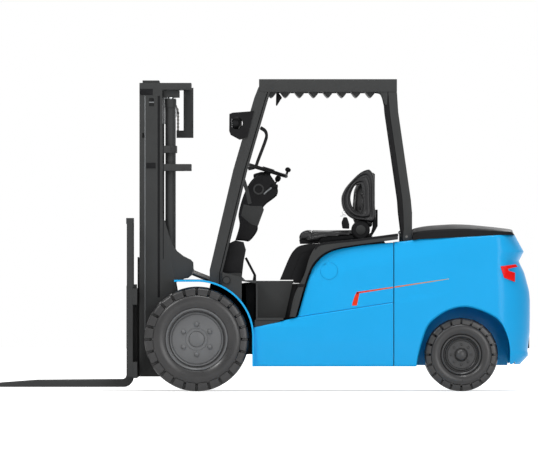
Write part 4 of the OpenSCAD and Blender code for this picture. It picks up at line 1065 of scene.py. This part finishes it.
# %% Console, cowl and head lamps
console = np.vstack([curve([(262, 1028.3), (290, 1130), (284, 1210), (316, 1330), (363, 1425), (410, 1470)], 40),
                     curve([(500, 1478), (546, 1400), (546, 1336), (472, 1275), (445, 1235), (418, 1150), (411, 1090),
                            (360, 1024), (320, 1024)], 60)])
column = turned(block(447, 495, -24, 24, 1440, 1503, 8), 17, (471, 1458))
instruments = rounded([(384, 1480), (392, 1402), (502, 1402), (512, 1452), (482, 1492), (440, 1497)], 10)
piece("console_moulding", join(plate(console, -150, 150, edge=14, steps=5), column,
                               plate(instruments, -60, 60, edge=8)), BLACK, "chassis", ["dash_console"])
COWL_CHEEK = [(177, 806), (182, 860), (207, 962), (224, 1010), (262, 1028), (318, 1016), (334, 962), (318, 880),
              (308, 806)]
piece("cowl_cheeks", join(both(plate(COWL_CHEEK, 464, 471, edge=0.5)),
                          both(drum(26.5, HALF_W - 6, HALF_W - 2.5, (203, 757), 48, bore=23)),
                          block(508, 553, -172, -148, 1384, 1410, 7)), BLACK, "chassis")
switch_stalk = tube([(452, -140, 1338), (476, -158, 1360), (500, -160, 1380), (518, -160, 1393)], 6, 12)
piece("signal_stalk", switch_stalk, CASE, "chassis")
CONSOLE_MIDDLE = [(318, 1274), (373, 1262), (445, 1262), (458, 1238), (422, 1140), (415, 1123), (373, 1135),
                  (330, 1171), (300, 1196)]
CONSOLE_BAND = [(304, 1440), (330, 1446), (352, 1380), (374, 1280), (348, 1272), (330, 1360)]
piece("console_panels", join(both(plate(rounded(CONSOLE_MIDDLE, 6), 148, 151.5, edge=1)),
                             both(plate(rounded(CONSOLE_BAND, 6), 148, 152.5, edge=1)),
                             both(drum(37, 150, 153, (421, 1377), 48, bore=26))), DARK, "chassis")

LAMP = (271, 1826)
cup = plate(sweep_line(LAMP, 46, 40, 320), 450, 460, edge=2)
lens, lens_faces = lathe([(0, -6), (18, -5), (32, -2), (38, 1), (39, 5), (0, 5)], (0, 0), 48)
lens = np.column_stack([LAMP[0] - 29 + lens[:, 1], -468 + lens[:, 0], LAMP[1] + lens[:, 2]])
piece("head_lamp_shells", both(cup), BLACK, "chassis")
piece("head_lamp_lenses", both((lens, lens_faces)), PLATED, "chassis")

# %% [markdown]
# A wide mirror hangs under the second slat, and a bent grab handle runs down each front pillar.

# %% Mirror and grab handles
MIRROR_X = SLAT_X0 + SLAT_PITCH
MIRROR_CASE = np.array([(-62, -2), (-46, -2), (-26, -28), (-22, -36), (-54, -86), (-60, -90), (-64, -86)])
MIRROR_FACE = np.array([(-25, -38.4), (-52.5, -81.4), (-50.8, -82.5), (-23.3, -39.5)])
piece("rear_view_mirror", join(plate(rounded(MIRROR_CASE + [MIRROR_X, RAIL_LOW], 3), -160, 160, edge=4),
                               block(MIRROR_X - 56, MIRROR_X - 40, -30, 30, RAIL_LOW - 4, RAIL_LOW + 28, 2)),
      BLACK, "chassis")
piece("mirror_glass", plate(MIRROR_FACE + [MIRROR_X, RAIL_LOW], -152, 152, edge=0.5), PLATED, "chassis")
handle = curve([(434, 1797), (464, 1777), (475, 1747), (467, 1707), (418, 1577), (401, 1533), (373, 1521),
                (349, 1517)], 60)
handle = np.insert(handle, 1, GUARD_HALF - RAIL_T / 2, axis=1)
piece("grab_handle_bar", both(tube(handle, 10, 20)), BLACK, "chassis", ["grab_handle"])

# %% [markdown]
# The forks are forged in one piece, with a generous arc inside and outside the heel and a blade
# that tapers to its tip. The outer mast keeps its CAD form. Its webs get their windows, and
# thin strips lie on its side: black ones are painted shade in its seams and grooves and on its
# cross bars, a light grey one along a ridge is a painted highlight, and a light grey bar shows
# in one window.

# %% Forks and outer mast
FACE_X, TIP_X, FORK_LOW, FORK_T = -480, -1550, 28, 45
fork = np.vstack([[(TIP_X, FORK_LOW + 4), (TIP_X + 10, FORK_LOW + 12), (-1100, FORK_LOW + 45)],
                  sweep_line((FACE_X - 36, FORK_LOW + 86), 36, -90, 0),
                  [(FACE_X, 718), (FACE_X + 8, 726), (FACE_X + 67, 726), (FACE_X + 67, 700.3),
                   (FACE_X + FORK_T - 0.3, 700.3)],
                  sweep_line((FACE_X + FORK_T - 60.3, FORK_LOW + 60), 60, 0, -90), [(TIP_X + 6, FORK_LOW)]])
piece("fork_pair", both(plate(fork, 207.5, 332.5, edge=3)), DARK, "lift_carriage", ["forks"])
# Strips on the outer mast: the black ones are painted shade in its grooves and on its cross bars, the light grey one
# along a ridge is a painted highlight, and a light grey bar shows in one window.
MAST_PAINTED_STRIPS = ((-267, -251, 371.2, 640, 2012, BLACK), (-231, -226, 370.8, 900, 2012, BLACK),
              (-355, -351, 371.0, 420, 2012, CASE), (-344, -281, 374, 1519, 1556, BLACK),
              (-326, -293, 369.6, 1966, 1972, CASE), (-389, -300, 371.6, 2018, 2060, BLACK))
for x0, x1, y, z0, z1, material in MAST_PAINTED_STRIPS:
    piece(f"mast_painted_strip_{-x0}", both(block(x0, x1, y - 3, y, z0, z1, 0.6)), material, "mast_outer")
outer_mast = dress("outer_mast", DARK)
apply_modifiers(outer_mast)
for x0, x1, z0, z1 in ((-326, -293, 1942, 1996), (-373, -353, 1724, 1758)):
    for side in SIDES:
        cut(outer_mast, block(x0, x1, *sorted((side * 345, side * 375)), z0, z1, 0.5))

# %% [markdown]
# The seat has a stuffed cushion and back and two moulded side wings. Cushion and back start as
# closed forms a little smaller than the real ones. Each is remeshed evenly and swells as cloth
# under inner pressure, while the side that rests on the shell is held. How far a point may
# move is capped, and the result is applied. Seams are pressed in afterwards.

# %% Stuffed pieces
def places(thing):
    """The vertices of a piece in millimetres on the truck's ruler."""
    points = np.empty(len(thing.data.vertices) * 3)
    thing.data.vertices.foreach_get("co", points)
    points = points.reshape(-1, 3)
    return (points - [AXLE_X, 0, 0]) / MM


def put(thing, points):
    """Moves the vertices of a piece to the points."""
    thing.data.vertices.foreach_set("co", to_metres(points).ravel())
    thing.data.update()


def subdivide(thing):
    """Splits each face once along the smooth surface."""
    finer = thing.modifiers.new("finer", "SUBSURF")
    finer.levels = finer.render_levels = 1
    apply_modifiers(thing)


VOXEL = 6.0
CLOTH_FRAMES = 20
SWELL_CAP = 7.0


def swell(thing, held):
    """Swells a closed piece like a stuffed cushion. held tells from the points which are kept
    in place, and no point moves further than the cap."""
    even = thing.modifiers.new("even", "REMESH")
    even.mode = "VOXEL"
    even.voxel_size = VOXEL * MM
    apply_modifiers(thing)
    before = places(thing)
    group = thing.vertex_groups.new(name="held")
    group.add(np.flatnonzero(held(before)).tolist(), 1.0, "REPLACE")
    cloth = thing.modifiers.new("cloth", "CLOTH")
    cloth.settings.quality = 5
    cloth.settings.mass = 0.3
    cloth.settings.vertex_group_mass = "held"
    cloth.settings.use_pressure = True
    cloth.settings.uniform_pressure_force = 4.0
    cloth.settings.effector_weights.gravity = 0.0
    cloth.point_cache.frame_start = 1
    cloth.point_cache.frame_end = CLOTH_FRAMES
    for step in range(1, CLOTH_FRAMES + 1):
        bpy.context.scene.frame_set(step)
    apply_modifiers(thing)
    bpy.context.scene.frame_set(1)
    move = places(thing) - before
    length = np.linalg.norm(move, axis=1, keepdims=True)
    put(thing, before + move * np.minimum(1, SWELL_CAP / np.maximum(length, 1e-6)))
    subdivide(thing)
    thing.data.shade_smooth()
    print(f"{thing.name}: swelled by up to {min(length.max(), SWELL_CAP):.1f} mm, {len(thing.data.polygons)} faces")


SEAM_WIDTH, FAR = 5, 99


def press(thing, distance, depth):
    """Presses a seam into a piece: points move against their normals by depth, falling off
    with the bell curve of their distance from the seam over its width."""
    points = places(thing)
    normals = np.array([v.normal[:] for v in thing.data.vertices])
    push = depth * np.exp(-(distance(points) / SEAM_WIDTH) ** 2)
    put(thing, points - normals * push[:, None])


CUSHION = [(697, 1024), (694, 1048), (706, 1078), (742, 1092), (860, 1089), (1040, 1091), (1072, 1092),
           (1094, 1080), (1094, 1066), (860, 1046), (848, 1040), (836, 1020), (766, 1014)]
BACK = [(1140, 1112), (1088, 1119), (1068, 1152), (1071, 1260), (1080, 1370), (1134, 1484), (1166, 1503),
        (1186, 1499), (1197, 1478), (1197, 1120)]
SEAM_X, SEAM_Y, SEAM_Z = 786, 128, 1300
cushion = piece("seat_cushion_soft", plate(rounded(CUSHION, 16), -228, 228, edge=22, steps=6), LEATHER, "hood",
                ["seat_cushion"], angle=180)
swell(cushion, lambda p: (p[:, 2] < 1050) & (p[:, 0] > 770) | (p[:, 0] > 1088))
press(cushion, lambda p: np.where(p[:, 2] > 1040, np.abs(p[:, 0] - SEAM_X), FAR), 4.5)
back = piece("seat_back_soft", plate(rounded(BACK, 16), -203, 203, edge=24, steps=6), LEATHER, "hood",
             ["seat_back"], angle=180)
swell(back, lambda p: (p[:, 0] > 1190) | (p[:, 2] < 1118))
press(back, lambda p: np.where(p[:, 0] < 1180, np.abs(np.abs(p[:, 1]) - SEAM_Y), FAR), 4.5)
press(back, lambda p: np.where((p[:, 0] < 1180) & (np.abs(p[:, 1]) < SEAM_Y), np.abs(p[:, 2] - SEAM_Z), FAR), 4)

# %% [markdown]
# The side wings are loops of moulded foam. A loop is a grid: columns go round the hole, and
# rows go from the outer rim over the outer face to the hole and back over the inner face. The
# height of the face at each row gives the rim, the groove and the ridge that the light shows.

# %% Side wings
WING_OUT = [(1214, 1160), (1140, 1162), (1081, 1168), (1030, 1198), (996, 1248), (987, 1304), (996, 1349),
            (1030, 1405), (1108, 1484), (1165, 1511), (1188, 1504), (1206, 1470), (1213, 1420), (1213, 1300)]
WING_HOLE = [(1130, 1222), (1096, 1226), (1064, 1252), (1049, 1300), (1052, 1345), (1074, 1394), (1101, 1406),
             (1126, 1394), (1134, 1310)]
WING_MIDDLE = np.array([1090, 1312])
WING_ROWS = np.array([(0.00, 240), (0.02, 250), (0.06, 257), (0.12, 260.5), (0.20, 261.5), (0.27, 259), (0.32, 253),
                      (0.37, 252), (0.43, 256), (0.52, 259.5), (0.64, 260), (0.74, 257), (0.80, 251), (0.86, 251),
                      (0.92, 255), (0.97, 252), (1.00, 244), (1.00, 232), (0.97, 221), (0.85, 216), (0.5, 214.5),
                      (0.15, 216), (0.03, 222), (0.00, 230)])


def reach_round(outline, centre, angles):
    """Distance from a centre to a smooth closed outline round it, at the given angles."""
    p = np.asarray(outline, float)
    line = curve(np.vstack([p[-2:], p, p[:2]]), 400) - centre
    a = np.arctan2(line[:, 1], line[:, 0])
    order = np.argsort(a)
    return np.interp(angles, a[order], np.hypot(*line[order].T), period=2 * np.pi)


def wing():
    """The loop on the right side. Every row is (share of the way to the hole, y)."""
    a = np.linspace(0, 2 * np.pi, 120, endpoint=False)
    out, hole = reach_round(WING_OUT, WING_MIDDLE, a), reach_round(WING_HOLE, WING_MIDDLE, a)
    t, y = WING_ROWS[:, :1], WING_ROWS[:, 1:]
    r = out + t * (hole - out)
    return grid(np.stack([WING_MIDDLE[0] + r * np.cos(a), y + 0 * a, WING_MIDDLE[1] + r * np.sin(a)], axis=2),
                around=True, along=True)


for side_name, shape, nodes in (("left", mirrored(wing()), ["seat_wings"]), ("right", wing(), [])):
    wing_piece = piece(f"seat_wing_{side_name}", shape, LEATHER, "hood", nodes, angle=180)
    subdivide(wing_piece)

# %% [markdown]
# Small parts of the seat: a two-step cover over each hinge of the back, and the belt's buckle
# on its stalk with a plated tongue and a ring.

# %% Hinge covers and belt buckle
HINGE = (1118, 1099)
cover = lathe([(0, 252), (34, 252), (37, 250), (38, 246), (56, 246), (61, 243), (63, 237), (0, 237)], HINGE, 64)
piece("seat_hinge_covers", both(cover), BLACK, "hood")
badge = lathe([(0, 253.5), (30, 253.5), (33, 252), (0, 252)], HINGE, 48)
piece("seat_hinge_caps", both(badge), DARK, "hood")
BUCKLE = [(992, 1108), (1040, 1106), (1040, 1140), (1024, 1186), (1000, 1186), (986, 1150)]
piece("belt_buckle", plate(rounded(BUCKLE, 8), -262, -250, edge=3), BLACK, "hood")
tongue = plate(rounded([(980, 1188), (1022, 1196), (1020, 1204), (978, 1197)], 2), -258, -254, edge=1)
a = np.linspace(0, 2 * np.pi, 25)
ring = tube(np.column_stack([1000 + 9 * np.cos(a), np.full_like(a, -256), 1218 + 13 * np.sin(a)]), 2.2, 8)
piece("belt_tongue", join(tongue, ring), STEEL, "hood")

# %% [markdown]
# The lift chains are leaf chains. From the carriage a strand runs up, over its wheel under the
# head plate, and down to an anchor on the outer mast. When the mast extends, the front strand
# gets shorter and the rear one longer. The links over the wheels ride on the inner mast, and
# each straight strand is drawn at rest from the wheel to its anchor, on no body.

# %% Lift chains
WHEEL = np.array([-213, 1898])
CHAIN_R = 83
PITCH = 25.4
LEAF = 8.0
CHAIN_Y = 72
ANCHOR_REAR, ANCHOR_FRONT = 1778, 346


def leaf_chain(path):
    """Links along a line of (x, z) points one pitch apart. A leaf is a thin plate whose outline
    is two round ends joined by a waist, and the leaves of one link stand outside or between
    those of the next. A pin goes across at every point."""
    a = np.linspace(-np.pi / 2, np.pi / 2, 7)
    end = np.column_stack([PITCH / 2 + LEAF * np.cos(a), LEAF * np.sin(a)])
    outline = np.vstack([end, [(0, 0.62 * LEAF)], -end, [(0, -0.62 * LEAF)]])
    offsets = ((-8.4, -3.2, 2.0, 7.2), (-5.8, -0.6, 4.6))
    shapes = []
    for i, (start, stop) in enumerate(zip(path[:-1], path[1:])):
        along = (stop - start) / np.linalg.norm(stop - start)
        across = np.array([-along[1], along[0]])
        line = (start + stop) / 2 + outline[:, :1] * along + outline[:, 1:] * across
        shapes += [plate(line, CHAIN_Y + y, CHAIN_Y + y + 2.2, edge=0.4, steps=1) for y in offsets[i % 2]]
    return join(*shapes, *(drum(3.4, CHAIN_Y - 10, CHAIN_Y + 10.8, point, 10) for point in path))


arc_a = np.linspace(0, np.pi, int(round(np.pi * CHAIN_R / PITCH)) + 1)
arc_path = WHEEL + CHAIN_R * np.column_stack([np.cos(arc_a), np.sin(arc_a)])
piece("chain_over_wheels", both(leaf_chain(arc_path)), CHAIN, "mast_inner", angle=40)


def strand(end_name, x, z_from, z_to):
    """A straight run of chain at a length x from one height to another, drawn at rest on no body."""
    count = int(abs(z_to - z_from) / PITCH + 0.5) + 1
    path = np.column_stack([np.full(count, x), np.linspace(z_from, z_to, count)])
    made = piece(f"chain_strand_{end_name}", both(leaf_chain(path)), CHAIN, None, [f"chain_{end_name}"], angle=40)
    tuple(to_metres([x, 0, z_from]))
    tuple(to_metres([x, 0, z_to]))
    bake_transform(made)


strand("front", WHEEL[0] - CHAIN_R, WHEEL[1], ANCHOR_FRONT)
strand("rear", WHEEL[0] + CHAIN_R, ANCHOR_REAR, WHEEL[1])

# %% [markdown]
# Stage and light: a wide floor that is white where the lamps reach it and keeps a soft shadow
# under the truck, a white world for the camera, and four soft lamps. The main one stands in
# front and above on the left, which gives the highlights on the tyres and door tops.

# %% Floor, world and lamps
def seen_white(tree):
    """One for rays that come from the camera, a mirror or glass, and zero for light rays."""
    path = new_node(tree, "ShaderNodeLightPath")
    first = new_node(tree, "ShaderNodeMath", operation="MAXIMUM")
    second = new_node(tree, "ShaderNodeMath", operation="MAXIMUM")
    tree.links.new(path.outputs["Is Camera Ray"], first.inputs[0])
    tree.links.new(path.outputs["Is Glossy Ray"], first.inputs[1])
    tree.links.new(first.outputs["Value"], second.inputs[0])
    tree.links.new(path.outputs["Is Transmission Ray"], second.inputs[1])
    return second.outputs["Value"]


FLOOR = 40.0
floor_mesh = bpy.data.meshes.new("studio_floor")
floor_mesh.from_pydata([(-FLOOR, -FLOOR, 0), (FLOOR, -FLOOR, 0), (FLOOR, FLOOR, 0), (-FLOOR, FLOOR, 0)], [],
                       [(0, 1, 2, 3)])
floor = add_object("studio_floor", floor_mesh)
floor_paint = bpy.data.materials.new("white_floor")
floor_paint.use_nodes = True
tree = floor_paint.node_tree
shader = tree.nodes["Principled BSDF"]
for socket, value in (("Base Color", (0.78, 0.78, 0.78, 1)), ("Roughness", 0.9), ("Emission Color", (1, 1, 1, 1))):
    shader.inputs[socket].default_value = value
place = new_node(tree, "ShaderNodeTexCoord")
distance = new_node(tree, "ShaderNodeVectorMath", operation="LENGTH")
tree.links.new(place.outputs["Object"], distance.inputs[0])
fade = map_range(tree, 2.0, 4.5, 0.60, 1.0, interpolation_type="SMOOTHSTEP")
tree.links.new(distance.outputs["Value"], fade.inputs["Value"])
glow = new_node(tree, "ShaderNodeMath", operation="MULTIPLY")
tree.links.new(fade.outputs["Result"], glow.inputs[1])
tree.links.new(seen_white(tree), glow.inputs[0])
tree.links.new(glow.outputs["Value"], shader.inputs["Emission Strength"])
floor_mesh.materials.append(floor_paint)

world = bpy.data.worlds.new("white_studio")
bpy.context.scene.world = world
world.use_nodes = True
tree = world.node_tree
sky = tree.nodes["Background"]
sky.inputs["Color"].default_value = (1, 1, 1, 1)
strength = map_range(tree, to_min=0.45)
tree.links.new(seen_white(tree), strength.inputs["Value"])
tree.links.new(strength.outputs["Result"], sky.inputs["Strength"])


def lamp(name, place, aim, size, watts):
    """A round soft lamp of the given size in metres, turned towards a point."""
    data = bpy.data.lights.new(name, "AREA")
    data.shape = "DISK"
    data.size = size
    data.energy = watts
    thing = add_object(name, data)
    thing.location = place
    thing.rotation_euler = (Vector(aim) - Vector(place)).to_track_quat("-Z", "Y").to_euler()


lamp("key_lamp", (-5.5, -7.0, 7.0), (0, 0, 0.8), 3.0, 290)
lamp("top_lamp", (0.5, -3.0, 7.5), (0.3, 0, 0.8), 2.5, 170)
lamp("fill_lamp", (5.0, -11.0, 3.0), (0.3, 0, 0.9), 6.0, 310)
lamp("rear_lamp", (4.0, 7.0, 6.0), (0, 0, 1.0), 4.0, 300)
bpy.context.scene.view_settings.view_transform = "Standard"
print("stage and lamps ready")
